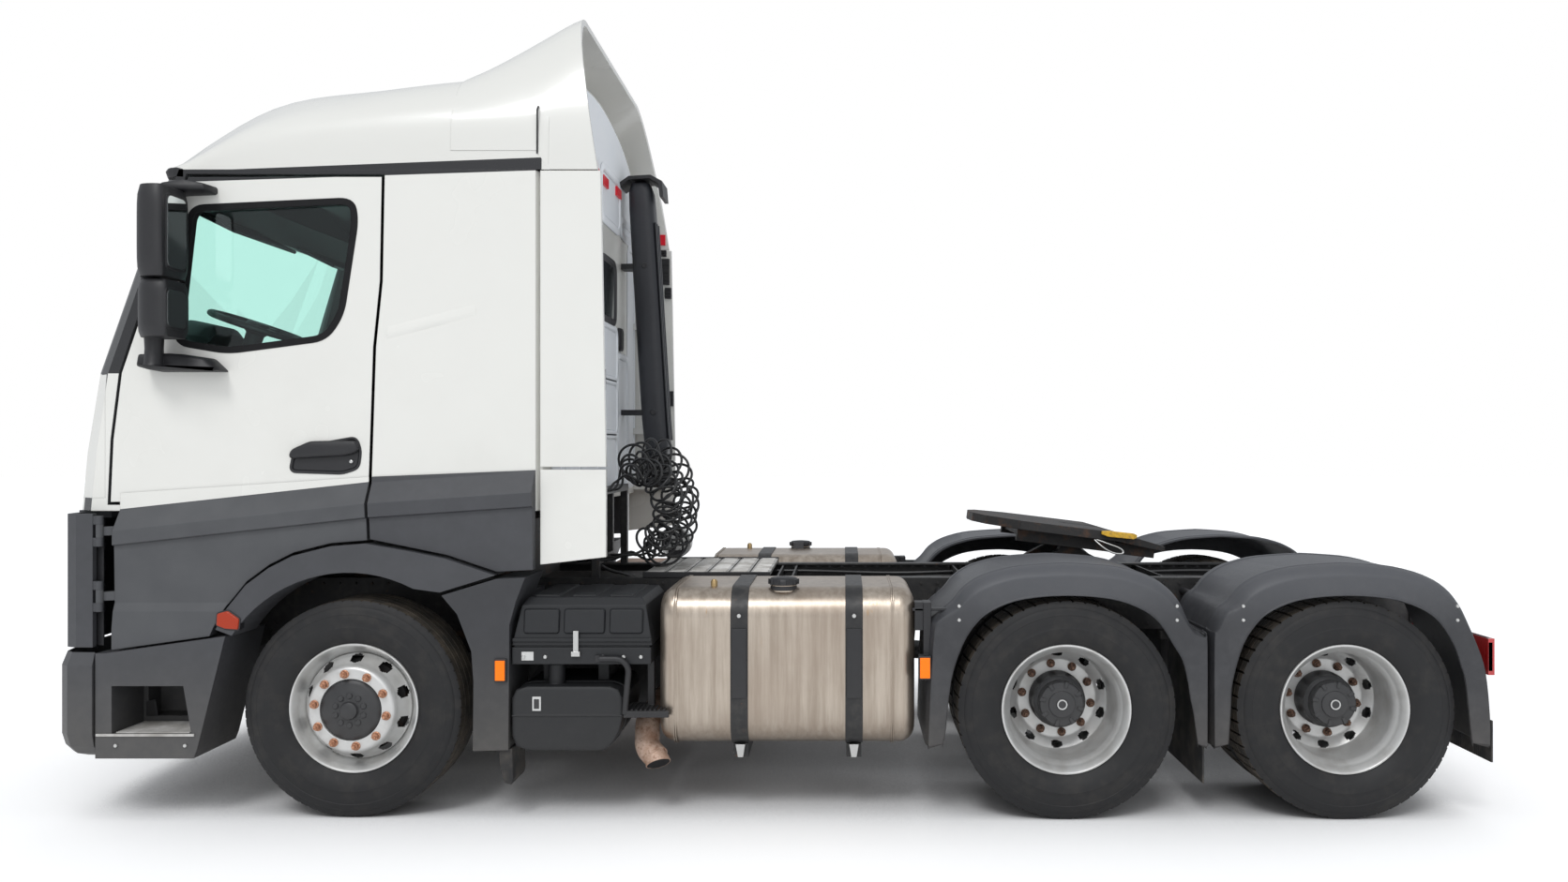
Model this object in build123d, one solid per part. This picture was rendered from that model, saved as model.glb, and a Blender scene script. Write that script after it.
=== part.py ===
from build123d import *
import math
import os

os.makedirs("parts", exist_ok=True)

# Heavy tractor unit, 6x4, high-roof cab-over. Millimetres, +X forward, +Y left, +Z up.
# Every piece is laid out with x measured forward from the front axle and is moved into
# the shared frame when it is saved.

# ---- driving dimensions -------------------------------------------------------------
FRONT_OVERHANG = 1440
WHEELBASE = 3300
BOGIE = 1285
REAR_OVERHANG = 700
LENGTH = FRONT_OVERHANG + WHEELBASE + BOGIE + REAR_OVERHANG
FRONT_AXLE_X = LENGTH / 2 - FRONT_OVERHANG
REAR_AXLES = (-WHEELBASE, -WHEELBASE - BOGIE)

TYRE_R = 505
AXLE_Z = TYRE_R
FRONT_TYRE_Y = 1045
KINGPIN_Y = 944
DUAL_MID_Y = 901.5
DUAL_HALF = 172.5

CAB_HALF = 1150
CAB_REAR = -900
CAB_SIDE_REAR = -838
CAB_FLOOR = 1420
ROOF_SEAM = 3010
WALL = 55

RAIL_OUT = 425
RAIL_FLANGE = 80
RAIL_TOP = 1030
RAIL_BOTTOM = 760

TILT_X, TILT_Z = 1290, 850
DOOR_HINGE = (1150, 1215)
DOOR_HINGE_Z = (1000, 1300)
PLATE_X, PLATE_Z = REAR_AXLES[0] - 198, 1236
PLATE_REST = 7
PLATE_TOP, PLATE_UNDER = 58, 12  # above the pivot
RUNNING = 0.3  # radial clearance of every shaft in its bore
FRONT_SPINDLE, REAR_SPINDLE, KINGPIN, TILT_PIN, PLATE_PIN = 40, 54, 22, 20, 25
COUPLING_PIN = 25.45  # radius of the bore for a 50.8 mm kingpin
REAR_END = -(WHEELBASE + BOGIE + REAR_OVERHANG)
COUPLING_BOLTS = (160, 100, 10.5)  # spacing across, spacing up, hole radius
COUPLING_Z = 895


# ---- drawing helpers ----------------------------------------------------------------
def box(x0, x1, y0, y1, z0, z1):
    """Box between two corners."""
    return Pos((x0 + x1) / 2, (y0 + y1) / 2, (z0 + z1) / 2) * Box(
        abs(x1 - x0), abs(y1 - y0), abs(z1 - z0)
    )


def outline(points, radius=0):
    """Flat face inside a closed outline, its corners rounded when asked."""
    if radius:
        return make_face(FilletPolyline(*points, radius=radius, close=True))
    return make_face(Polyline(*points, close=True))


def side(points, y0, y1, radius=0):
    """(x, z) outline pushed from y0 to y1."""
    face = Plane(origin=(0, y0, 0), x_dir=(1, 0, 0), z_dir=(0, -1, 0)) * outline(points, radius)
    return extrude(face, amount=y1 - y0, dir=(0, 1, 0))


def plan(points, z0, z1, radius=0):
    """(x, y) outline pushed from z0 to z1."""
    return extrude(Pos(0, 0, z0) * outline(points, radius), amount=z1 - z0, dir=(0, 0, 1))


def front(points, x0, x1, radius=0):
    """(y, z) outline pushed from x0 to x1."""
    face = Plane(origin=(x0, 0, 0), x_dir=(0, 1, 0), z_dir=(1, 0, 0)) * outline(points, radius)
    return extrude(face, amount=x1 - x0, dir=(1, 0, 0))


def turned(section):
    """(radius, y) section turned about the Y axis."""
    return revolve(outline(section), axis=Axis.Y)


def disc(radius, x, y0, y1, z):
    """Round bar along Y."""
    return Pos(x, (y0 + y1) / 2, z) * Rot(90, 0, 0) * Cylinder(radius, abs(y1 - y0))


def post(radius, x, y, z0, z1):
    """Round bar along Z."""
    return Pos(x, y, (z0 + z1) / 2) * Cylinder(radius, abs(z1 - z0))


def tube(points, radius, bend):
    """Round bar along a bent centre line."""
    line = FilletPolyline(*points, radius=bend) if bend else Polyline(*points)
    start = Plane(origin=line @ 0, z_dir=line % 0)
    return sweep(start * Circle(radius), path=line)


def other(shape):
    """The same piece on the right-hand side."""
    return shape.mirror(Plane.XZ)


def pair(shape):
    return [shape, other(shape)]


def save(name, *shapes):
    """Writes one node, all its solids moved into the shared frame."""
    solids = []
    for shape in shapes:
        solids += (Pos(FRONT_AXLE_X, 0, 0) * shape).solids()
    whole = solids[0] if len(solids) == 1 else Compound(children=solids)
    export_step(whole, f"parts/{name}.step")


# ---- cab ----------------------------------------------------------------------------
# Plan sections of the cab: height, front at the middle, front at 0.6 of the half width,
# front corner, start of the straight side.
CAB_SECTIONS = (
    # z, middle, shoulder, corner, side
    (1420, 1385, 1365, 1315, 1230),
    (1695, 1365, 1345, 1289, 1205),
    (2066, 1312, 1292, 1228, 1150),
    (3010, 965, 950, 897, 822),
)
SHOULDER, CORNER = 0.6, 0.94


def cab_plan(z, middle, shoulder, corner, side_x, inset=0):
    half = CAB_HALF - inset
    rear = CAB_REAR + inset
    half_points = [
        (shoulder - inset, SHOULDER * half),
        (corner - inset, CORNER * half),
        (side_x - inset, half),
        (CAB_SIDE_REAR + inset / 2, half),
        (CAB_SIDE_REAR - 12 + inset / 2, half - 35),
        (rear, half - 50),
    ]
    points = [(middle - inset, 0)] + half_points + [(x, -y) for x, y in reversed(half_points)]
    return Pos(0, 0, z) * outline(points)


def cab_body(inset=0):
    return loft([cab_plan(*row, inset=inset) for row in CAB_SECTIONS], ruled=True)


# Roof cross-sections: x, then the height at each of these shares of the half width.
ROOF_SHARES = (0, 0.43, 0.70, 0.87, 0.98, 1.0)
ROOF_SECTIONS = (
    (980, 3120, 3110, 3080, 3040, 3018, 3010),
    (850, 3330, 3300, 3215, 3085, 3025, 3010),
    (480, 3510, 3480, 3412, 3300, 3185, 3010),
    (0, 3590, 3560, 3480, 3390, 3245, 3010),
    (-470, 3640, 3600, 3530, 3445, 3275, 3010),
    (CAB_REAR, 3650, 3610, 3540, 3455, 3295, 3010),
)
# The air deflector above it, in the same columns.
SPOILER_SECTIONS = (
    (-440, 3646, 3606, 3536, 3449, 3276, 3010),
    (-600, 3700, 3690, 3620, 3500, 3284, 3010),
    (-800, 3790, 3785, 3735, 3570, 3295, 3010),
    (-985, 3850, 3850, 3832, 3640, 3305, 3010),
    (-1125, 3850, 3850, 3832, 3640, 3310, 3010),
)


def vault(rows, half, drop=0, foot=ROOF_SEAM):
    faces = []
    for x, *heights in rows:
        right = [
            (share * half, max(height - drop, foot + 1 + 3 * (5 - i)) if i < 5 else foot)
            for i, (share, height) in enumerate(zip(ROOF_SHARES, heights))
        ]
        points = right + [(-y, z) for y, z in reversed(right[1:])]
        plane = Plane(origin=(x, 0, 0), x_dir=(0, 1, 0), z_dir=(1, 0, 0))
        faces.append(plane * outline(points))
    return loft(faces, ruled=True)


# Door outline in side view: the part that closes the cab, then the skirt below it.
DOOR_UPPER = [(-61, 1551), (-82, 2184), (-113, 2490), (-122, 2975), (778, 2975), (1087, 2062),
              (1126, 1752), (1139, 1462), (-62, 1462)]
DOOR_FOOT = [(1090, 785), (640, 848), (621, 893), (572, 986), (480, 1098), (375, 1175), (264, 1231),
             (92, 1274), (-75, 1287)]
DOOR_LOWER = DOOR_FOOT + [(-64, 1600), (1090, 1600)]
QUARTER_FOOT = [(-89, 1292), (-290, 1251), (-445, 1219), (-673, 1142), (CAB_SIDE_REAR, 1150)]
WINDOW_EDGE = [(835, 2205), (764, 2830), (17, 2865), (0, 2773), (66, 2337), (140, 2225), (594, 2165)]
DOOR_GAP = 14
HANDLE_CUP = [(301, 1606), (286, 1681), (206, 1722), (-2, 1759), (-22, 1700), (-12, 1622), (60, 1598)]
HANDLE_GRIP = [(300, 1668), (292, 1700), (206, 1738), (-8, 1742), (-16, 1700), (40, 1683)]
# Mirror housings in plan, round at the front and flat behind where the glass is.
HEAD_PLAN = [(738, 1200), (738, 1440), (790, 1450), (846, 1430), (885, 1370), (898, 1290), (890, 1225), (865, 1200)]
LOW_PLAN = [(735, 1200), (735, 1410), (790, 1422), (850, 1402), (898, 1345), (915, 1275), (905, 1222), (875, 1200)]
ARCH_R = 636


def grown(points, by):
    """A closed outline moved outwards."""
    return offset(outline(points), amount=by, kind=Kind.INTERSECTION)


def side_face(face, y0, y1):
    put = Plane(origin=(0, y0, 0), x_dir=(1, 0, 0), z_dir=(0, -1, 0)) * face
    return extrude(put, amount=y1 - y0, dir=(0, 1, 0))


def flared(x, rise):
    """Section of the grey lower body side, its upper edge raised along the cab."""
    edge = [(1152, 760), (1225, 760), (1225, 880), (1215, 960), (1200, 1000), (1205, 1255 + rise),
            (1222, 1262 + rise), (1222, 1325 + rise), (1160, 1420 + rise), (1157, 1500 + 0.6 * rise),
            (1152, 1500 + 0.6 * rise)]
    return Plane(origin=(x, 0, 0), x_dir=(0, 1, 0), z_dir=(1, 0, 0)) * outline(edge)


def flank(points, x0, rise0, x1, rise1):
    """A piece of the flared body side inside an (x, z) outline."""
    return loft([flared(x0, rise0), flared(x1, rise1)], ruled=True) & side(points, 1140, 1240)


def windscreen_edge(grow):
    return [(-1010 - grow, 2100 - grow), (1010 + grow, 2100 - grow),
            (930 + grow, 2930 + grow), (-930 - grow, 2930 + grow)]


def make_cab():
    outer, inner = cab_body(), cab_body(WALL)
    floor = box(CAB_REAR, 1400, -CAB_HALF, CAB_HALF, CAB_FLOOR, CAB_FLOOR + 50)
    shell = outer - (inner - floor)

    opening = side_face(grown(DOOR_UPPER, DOOR_GAP), CAB_HALF - WALL - 60, CAB_HALF + 40)
    shell -= opening
    shell -= other(opening)

    screen = front(windscreen_edge(0), 700, 1500, radius=60)
    rear_window = box(CAB_REAR - 20, CAB_REAR + WALL + 20, 380, 820, 2350, 2850)
    shell -= screen
    shell -= rear_window

    # front panel under the windscreen, its own piece
    front_zone = box(1165, 1500, -1200, 1200, CAB_FLOOR + 60, 2056)
    front_panel = shell & front_zone
    shell -= front_zone
    save("cab_shell", shell)
    save("front_panel", front_panel)

    pane = cab_body(14) - cab_body(24)
    windscreen = pane & front(windscreen_edge(0), 700, 1500, radius=60)
    rear_pane = box(CAB_REAR + 20, CAB_REAR + 26, 380, 820, 2350, 2850)
    save("cab_glass", windscreen, rear_pane)

    # roof, open underneath to the cab
    plan_cut = extrude(cab_plan(*CAB_SECTIONS[-1]), amount=700, dir=(0, 0, 1))
    plan_cut_in = extrude(cab_plan(*CAB_SECTIONS[-1], inset=40), amount=700, dir=(0, 0, 1))
    roof_solid = vault(ROOF_SECTIONS, CAB_HALF) & plan_cut
    roof_void = vault(ROOF_SECTIONS, CAB_HALF - 40, drop=40, foot=ROOF_SEAM - 5) & (
        Pos(0, 0, -10) * plan_cut_in)
    save("cab_roof", roof_solid - roof_void)

    # deflector: a skin over the rear of the roof, open behind
    spoiler = vault(SPOILER_SECTIONS, CAB_HALF)
    spoiler -= vault(SPOILER_SECTIONS, CAB_HALF - 28, drop=28, foot=ROOF_SEAM - 5)
    spoiler -= box(-2000, 0, -1300, 1300, 2900, 3100)
    roof_block = vault([(x + (4 if x > 0 else 0), *h) for x, *h in ROOF_SECTIONS[:-1]]
                       + [(CAB_REAR - 8, *[h + 2 for h in ROOF_SECTIONS[-1][1:]])], CAB_HALF + 0.5, drop=-1)
    spoiler -= roof_block
    spoiler -= side([(-1126, 3000), (-1200, 3000), (-1200, 3900), (-983, 3900), (-983, 3852), (-1126, 3036)],
                    -1300, 1300)
    spoiler = max(spoiler.solids(), key=lambda s: s.volume)
    save("roof_spoiler", spoiler)

    # side fairings behind the cab
    upper_fair = side([(-860, 1625), (-1166, 1625), (-1140, 3005), (-860, 3005)], 1124, 1150)
    lower_fair = side([(-860, 1170), (-1166, 1205), (-1166, 1612), (-860, 1612)], 1124, 1150)
    stay = box(-1100, CAB_REAR, 1060, 1124, 2480, 2520)
    stay2 = box(-1100, CAB_REAR, 1060, 1124, 1800, 1840)
    upper_fair = upper_fair + stay + stay2
    low_stay = box(-1100, CAB_REAR, 1060, 1124, 1440, 1480)
    lower_fair = lower_fair + low_stay
    save("side_fairings", *pair(upper_fair), *pair(lower_fair))


# grille and grey corner panels under the front panel: plan outlines (x, y)
GRILLE_PLAN = [(1405, 0), (1400, 450), (1384, 800), (1352, 1020), (1307, 1200), (1255, 1222), (1178, 1222)]


def make_grille():
    outer = [(x, y) for x, y in GRILLE_PLAN] + [(x, -y) for x, y in reversed(GRILLE_PLAN[1:])]
    inner_half = [(1375, 0), (1370, 450), (1354, 800), (1324, 1005), (1284, 1178), (1250, 1192), (1178, 1192)]
    inner = inner_half + [(x, -y) for x, y in reversed(inner_half[1:])]
    band = plan(outer, 796, 1410) - plan(inner, 790, 1416)
    # upper edge slopes back to meet the white panel
    band -= side([(1260, 1411), (1420, 1411), (1420, 1330), (1400, 1330), (1330, 1411)], -1300, 1300)
    # five broad slots
    for z in (850, 950, 1050, 1150, 1250):
        band -= front([(-900, z), (900, z), (900, z + 62), (-900, z + 62)], 1300, 1500, radius=20)
    top = box(1150, 1330, -1080, 1080, 1385, CAB_FLOOR)
    band = band + (top & plan(outer, 1300, CAB_FLOOR))
    for y in (-430, 430):
        band -= box(1230, 1350, y - 40, y + 40, 1370, 1425)
    # fixed halves of the door hinges, in the dark groove beside each door
    for z in DOOR_HINGE_Z:
        for low, high in ((z - 40, z - RUNNING), (z + 60 + RUNNING, z + 100)):
            eye = post(16, *DOOR_HINGE, low, high) + box(DOOR_HINGE[0] + 8, 1180, 1196, 1220, low, high)
            band = band + eye + other(eye)
    save("grille", band)


def make_lower_panels():
    # grey quarter behind the door
    quarter = QUARTER_FOOT + [(CAB_SIDE_REAR, 1640), (-76, 1640)]
    rear = flank(quarter, -60, 131, CAB_SIDE_REAR - 10, 184)
    rear = rear + box(-800, -120, CAB_HALF, 1156, 1440, 1500)
    # band round the front wheel, hung from the cab floor
    crown = [(x * 0.984 - 4, z - 13) for x, z in DOOR_FOOT[2:]] + [(x, z - 14) for x, z in QUARTER_FOOT[1:-1]]
    arc = [(ARCH_R * math.cos(math.radians(a)), AXLE_Z + ARCH_R * math.sin(math.radians(a)))
           for a in range(118, 32, -5)]
    band = side(crown + [(-420, 1050)] + arc, 1000, 1235)
    for x in (-330, 230):
        band = band + (box(x, x + 60, 1000, 1060, 1100, CAB_FLOOR) - disc(ARCH_R, 0, 900, 1300, AXLE_Z))
    save("cab_lower_panels", *pair(rear), *pair(band))


def make_doors():
    skin = side(DOOR_UPPER, CAB_HALF - 60, CAB_HALF)
    skin -= side(WINDOW_EDGE, 1000, 1200, radius=28)
    skirt = flank(DOOR_LOWER, 1133, 0, -80, 133)
    door = skin + skirt + box(-40, 1060, 1140, 1156, 1470, 1490)
    # hinge eyes in the dark groove ahead of the door
    for z in DOOR_HINGE_Z:
        eye = post(16, *DOOR_HINGE, z, z + 60)
        arm = plan([(1060, 1154), (1090, 1154), (1140, 1172), (1150, 1199), (1150, 1211), (1120, 1211),
                    (1085, 1196), (1060, 1196)], z + 10, z + 50)
        door = door + eye + arm
    # handle in a shallow cup
    door -= side(HANDLE_CUP, CAB_HALF - 26, CAB_HALF + 5, radius=24)
    door = door + side(HANDLE_GRIP, CAB_HALF - 30, CAB_HALF + 12, radius=13)
    pane = side(WINDOW_EDGE, 1118, 1124, radius=28)
    save("door_left", door)
    save("door_right", other(door))
    save("door_glass_left", pane)
    save("door_glass_right", other(pane))

    # mirror housings: plan outline (x, y), bottom, top
    head, low = plan(HEAD_PLAN, 2478, 2885), plan(LOW_PLAN, 2212, 2466)
    arm = side([(650, 2888), (650, 2932), (760, 2946), (850, 2925), (850, 2870), (790, 2888)], 1150, 1262)
    foot = side([(585, 2066), (650, 2128), (800, 2150), (955, 2146), (965, 2085), (900, 2066)], 1150, 1262)
    stalk = post(42, 872, 1262, 2090, 2230) + post(24, 872, 1262, 2400, 2500)
    mirror_set = head + low + arm + foot + stalk
    save("mirror_left", mirror_set)
    save("mirror_right", other(mirror_set))


def make_interior():
    dash = side([(1130, 1750), (1165, 1745), (1160, 2010), (1080, 2040), (900, 1990), (870, 1800), (960, 1700)],
                -1000, 1000)
    dash = dash + box(1000, 1100, -150, 150, CAB_FLOOR + 50, 1750)
    save("dashboard", dash)

    seats = []
    for y in (560, -560):
        base = box(60, 560, y - 180, y + 180, CAB_FLOOR + 50, 1760)
        cushion = box(20, 560, y - 260, y + 260, 1760, 1900)
        back = side([(140, 1900), (20, 1900), (-110, 2560), (0, 2600)], y - 250, y + 250)
        rest = side([(0, 2600), (-110, 2560), (-140, 2760), (-40, 2780)], y - 150, y + 150)
        seats.append(base + cushion + back + rest)
    bunk = box(CAB_REAR + WALL, -180, -1035, 1035, 1850, 2000) + box(-830, -230, -1030, 1030, CAB_FLOOR + 50, 1850)
    save("seats", *seats, bunk)

    ring = Torus(225, 17)
    hub = Cylinder(60, 40)
    spokes = Box(440, 36, 18)
    wheel = ring + hub + spokes
    column = Pos(0, 0, -150) * Cylinder(32, 300)
    wheel = wheel + column
    place = Pos(720, 560, 2060) * Rot(0, -28, 0)
    clear = (place * wheel) - dash
    save("steering_wheel", max(clear.solids(), key=lambda s: s.volume))


def make_cab_arms():
    arms = []
    arm = box(1240, 1340, 400, 460, 850, CAB_FLOOR) + disc(45, TILT_X, 400, 460, TILT_Z)
    arm -= disc(TILT_PIN + RUNNING, TILT_X, 390, 470, TILT_Z)
    save("cab_arms", *pair(arm))


def make_intake():
    duct = box(-1180, -930, -800, -600, 1583, 3387)
    cap = side([(-930, 3387), (-1180, 3387), (-1180, 3250), (-1230, 3250), (-1230, 3420), (-960, 3420)], -820, -580)
    link = box(-930, CAB_REAR, -760, -640, 2900, 2960) + box(-930, CAB_REAR, -760, -640, 1900, 1960)
    bellows = Pos(-1055, -700, 1500) * Cylinder(90, 166)
    save("intake_stack", duct + cap + link + bellows)


# ---- chassis ------------------------------------------------------------------------
def make_frame():
    rail = box(REAR_END + 40, 1165, RAIL_OUT - RAIL_FLANGE, RAIL_OUT, RAIL_BOTTOM, RAIL_TOP)
    rail -= box(REAR_END - 10, 1200, RAIL_OUT - RAIL_FLANGE - 1, RAIL_OUT - 10, RAIL_BOTTOM + 10, RAIL_TOP - 10)
    save("frame_rails", *pair(rail))

    members = []
    for x in (REAR_END + 40, REAR_AXLES[0] - 700, REAR_AXLES[0] + 300, REAR_AXLES[0] + 1300, -1340):
        members.append(box(x, x + 90, -415, 415, RAIL_BOTTOM + 10, RAIL_TOP - 10)
                       - box(x + 10, x + 80, -380, 380, RAIL_BOTTOM, RAIL_TOP))
    beam = box(1165, 1240, -1080, 1080, 560, 700) + box(1120, 1165, -430, 430, 560, RAIL_BOTTOM)
    # cab pivot brackets, kept behind the sweep of the tilting grille
    ear = [(1180, 690), (1180, 850), (1240, 905), (1305, 908), (1340, 875), (1332, 825), (1272, 785), (1262, 700),
           (1240, 560), (1180, 560)]
    pin = disc(TILT_PIN, TILT_X, 340, 500, TILT_Z)
    brackets = side(ear, 340, 395) + side(ear, 465, 500) + pin
    members.append(beam + brackets + other(brackets))
    # rear closing plate, drilled for a drawbar coupling
    tail = box(REAR_END, REAR_END + 40, -440, 440, RAIL_BOTTOM, RAIL_TOP)
    end = members[0] + tail
    for y in (-COUPLING_BOLTS[0] / 2, COUPLING_BOLTS[0] / 2):
        for z in (-COUPLING_BOLTS[1] / 2, COUPLING_BOLTS[1] / 2):
            end -= Pos(REAR_END + 25, y, COUPLING_Z + z) * Rot(0, 90, 0) * Cylinder(COUPLING_BOLTS[2], 60)
    members[0] = end
    save("crossmembers", *members)


# height, set back from the full outline: outside, then inside
BUMPER_OUT = ((285, 95), (305, 45), (345, 14), (400, 0), (715, 0), (775, 22))
BUMPER_IN = ((284, 121), (305, 72), (345, 40), (400, 25), (776, 25))
BUMPER_PLAN = [(1440, 0), (1435, 450), (1418, 800), (1385, 1020), (1333, 1200), (1280, 1245), (1163, 1250)]


def bumper_level(z, back):
    share = (BUMPER_PLAN[0][0] - BUMPER_PLAN[-1][0] - back) / (BUMPER_PLAN[0][0] - BUMPER_PLAN[-1][0])
    half = [(BUMPER_PLAN[-1][0] + (x - BUMPER_PLAN[-1][0]) * share, y - back * (y / 1250) ** 2) for x, y in BUMPER_PLAN]
    return Pos(0, 0, z) * outline(half + [(x, -y) for x, y in reversed(half[1:])])


def make_bumper():
    outer = loft([bumper_level(*row) for row in BUMPER_OUT], ruled=True)
    inner = loft([bumper_level(*row) for row in BUMPER_IN], ruled=True)
    arm = box(1240, 1432, 540, 600, 580, 660) & outer
    skin = outer - inner
    for y in (-1020, 780):
        skin -= box(1200, 1500, y, y + 240, 480, 640)
    skin = skin + arm + other(arm)
    save("front_bumper", skin)

    lamp = plan([(1405, 780), (1368, 1020), (1310, 1020), (1345, 780)], 480, 640)
    save("lamps", lamp, other(lamp), *make_tail_lamps())


def make_tail_lamps():
    lamp = box(REAR_END, REAR_END + 29, 820, 1180, 661, 830)
    carrier = box(REAR_END, REAR_END + 29, 440, 820, 770, 810)
    return pair(lamp + carrier)


def make_steps():
    body = side([(1155, 290), (1155, 772), (1110, 772), (560, 850), (689, 330), (705, 290)], 860, 1240)
    body -= side([(715, 403), (1080, 403), (1080, 622), (752, 622)], 985, 1300)
    body -= box(760, 1060, 880, 985, 430, 600)
    hanger = box(900, 1000, RAIL_OUT, 870, 640, 700) + box(900, 1000, RAIL_OUT, 436, 640, 790)
    save("step_boxes", *pair(body + hanger))


def make_mudguards():
    edge = [(-428, 1036), (-500, 950), (-565, 780), (-575, 640), (-572, 323), (-735, 327), (-740, 900),
            (-770, 1010), (-812, 1118), (-676, 1112)]
    inside = [(-450, 1018), (-518, 945), (-585, 790), (-597, 640), (-594, 300), (-713, 300), (-718, 905),
              (-749, 1005), (-785, 1094), (-672, 1090)]
    guard = side(edge, 900, 1235) - side(inside, 890, 1212)
    stay = box(-700, -640, RAIL_OUT, 1214, 960, 990)
    save("front_mudguards", *pair(guard + stay))


def make_power():
    web = RAIL_OUT - 10
    engine = box(-600, 760, -330, 330, 620, 1330) + box(200, 300, -web, web, 840, 900)
    radiator = box(850, 960, -338, 338, 790, 1360) + box(880, 930, -web, web, 840, 900)
    save("engine_block", engine, radiator)
    gearbox = front([(-220, 580), (220, 580), (260, 760), (220, 1000), (-220, 1000), (-260, 760)], -1200, -600)
    shaft = tube([(-1190, 0, 650), (REAR_AXLES[0] + 275, 0, 565)], 50, 0)
    save("driveline", gearbox + shaft + box(-1000, -900, -web, web, 840, 900))


def make_axles():
    beam = box(-45, 45, -880, 880, 450, 545)
    for s in (1, -1):
        beam = beam + (post(45, 0, s * KINGPIN_Y, 445, 565) + box(-45, 45, *sorted((s * 870, s * KINGPIN_Y)), 450, 545))
        beam -= post(KINGPIN + RUNNING, 0, s * KINGPIN_Y, 400, 600)
    rear = []
    for x in REAR_AXLES:
        axle = disc(75, x, -560, 560, AXLE_Z) + disc(REAR_SPINDLE, x, -1045, 1045, AXLE_Z)
        axle = axle + Pos(x, 0, AXLE_Z) * Sphere(195)
        nose = tube([(x, 0, AXLE_Z), (x + 260, 0, AXLE_Z + 55)], 85, 0)
        rear.append(axle + nose)
    save("axles", beam, *rear)

    springs = []
    spring = side([(-700, 600), (-300, 560), (-60, 545), (60, 545), (300, 560), (700, 600),
                   (700, 640), (300, 606), (0, 592), (-300, 606), (-700, 640)], 350, 420)
    hangers = box(650, 740, 350, 420, 600, 760) + box(-740, -650, 350, 420, 600, 760)
    springs += pair(spring + hangers)
    for x in REAR_AXLES:
        arm = box(x - 440, x + 440, 350, 430, 580, 626)
        bags = post(110, x - 330, 400, 626, 760) + post(110, x + 330, 400, 626, 760)
        springs += pair(arm + bags)
    save("suspension", *springs)

    for name, flip in (("left", False), ("right", True)):
        pin = post(KINGPIN, 0, KINGPIN_Y, 400, 625)
        ears = post(50, 0, KINGPIN_Y, 571, 625) + post(50, 0, KINGPIN_Y, 385, 439)
        web = box(-55, 55, 955, 1040, 385, 625) - post(60, 0, KINGPIN_Y, 439, 571)
        spindle = disc(FRONT_SPINDLE, 0, 1040, 1185, AXLE_Z)
        drum = disc(150, 0, 1000, 1040, AXLE_Z) - post(60, 0, KINGPIN_Y, 300, 700)
        knuckle = pin + ears + web + spindle + drum
        save(f"knuckle_{name}", other(knuckle) if flip else knuckle)


# ---- wheels -------------------------------------------------------------------------
# Half tyre section: radius, distance from the tyre's middle; outside, then the cavity.
TYRE_OUTSIDE = ((505, 108), (498, 131), (440, 155), (390, 157.5), (340, 148), (302, 126), (302, 114), (286, 114))
TYRE_INSIDE = ((286, 86), (345, 124), (440, 131), (472, 112))


def tyre(middle):
    left = [(r, middle + y) for r, y in TYRE_OUTSIDE + TYRE_INSIDE]
    right = [(r, middle - y) for r, y in reversed(TYRE_OUTSIDE + TYRE_INSIDE)]
    return turned(left + right)


BARREL = (
    (300, 127), (300, 114), (286, 114), (286, 60), (254, 36), (254, -62), (286, -86), (286, -114),
    (300, -114), (300, -127), (288, -127), (274, -112), (274, -92), (242, -68),
)
FRONT_DISC = (
    (242, 30), (228, 104), (196, 146), (100, 146), (100, 20), (FRONT_SPINDLE + RUNNING, 20), (FRONT_SPINDLE + RUNNING, 150), (0, 150), (0, 198),
    (70, 198), (86, 188), (92, 160), (204, 160), (241, 112), (254, 62), (274, 76), (274, 112), (288, 127),
)


def holes(shape, count, at, size, y0, y1):
    for k in range(count):
        shape -= Rot(0, k * 360 / count, 0) * Pos(at, (y0 + y1) / 2, 0) * Rot(90, 0, 0) * Cylinder(size, y1 - y0)
    return shape


def front_rim():
    rim = turned([*BARREL, *FRONT_DISC])
    return holes(rim, 10, 214, 26, 80, 175)


def dual_rims():
    c, bore = DUAL_HALF, REAR_SPINDLE + RUNNING
    outer = [(300, c + 127), (300, c + 114), (286, c + 114), (286, c + 86), (254, c + 62), (254, c - 36),
             (286, c - 60), (286, c - 114), (300, c - 114), (300, c - 127), (288, c - 127), (274, c - 112),
             (274, c - 76), (256, c - 60), (243, c - 112), (206, 0), (bore, 0), (bore, c - 12), (0, c - 12),
             (0, c + 26), (80, c + 26), (95, c + 14), (95, c - 20), (118, c - 60), (118, 26), (200, 26),
             (228, c - 104), (242, c - 30), (242, c + 68), (274, c + 92), (274, c + 112), (288, c + 127)]
    inner = [(300, -c - 127), (300, -c - 114), (286, -c - 114), (286, -c - 86), (254, -c - 62),
             (254, -c + 36), (286, -c + 60), (286, -c + 114), (300, -c + 114), (300, -c + 127),
             (288, -c + 127), (274, -c + 112), (274, -c + 76), (256, -c + 60), (243, -c + 112), (206, 0),
             (bore, 0), (bore, -190), (118, -190), (118, -26), (200, -26), (228, -c + 104), (242, -c + 30),
             (242, -c - 68), (274, -c - 92), (274, -c - 112), (288, -c - 127)]
    both = turned(outer) + turned(inner)
    return holes(both, 10, 218, 26, -80, 80)


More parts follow.
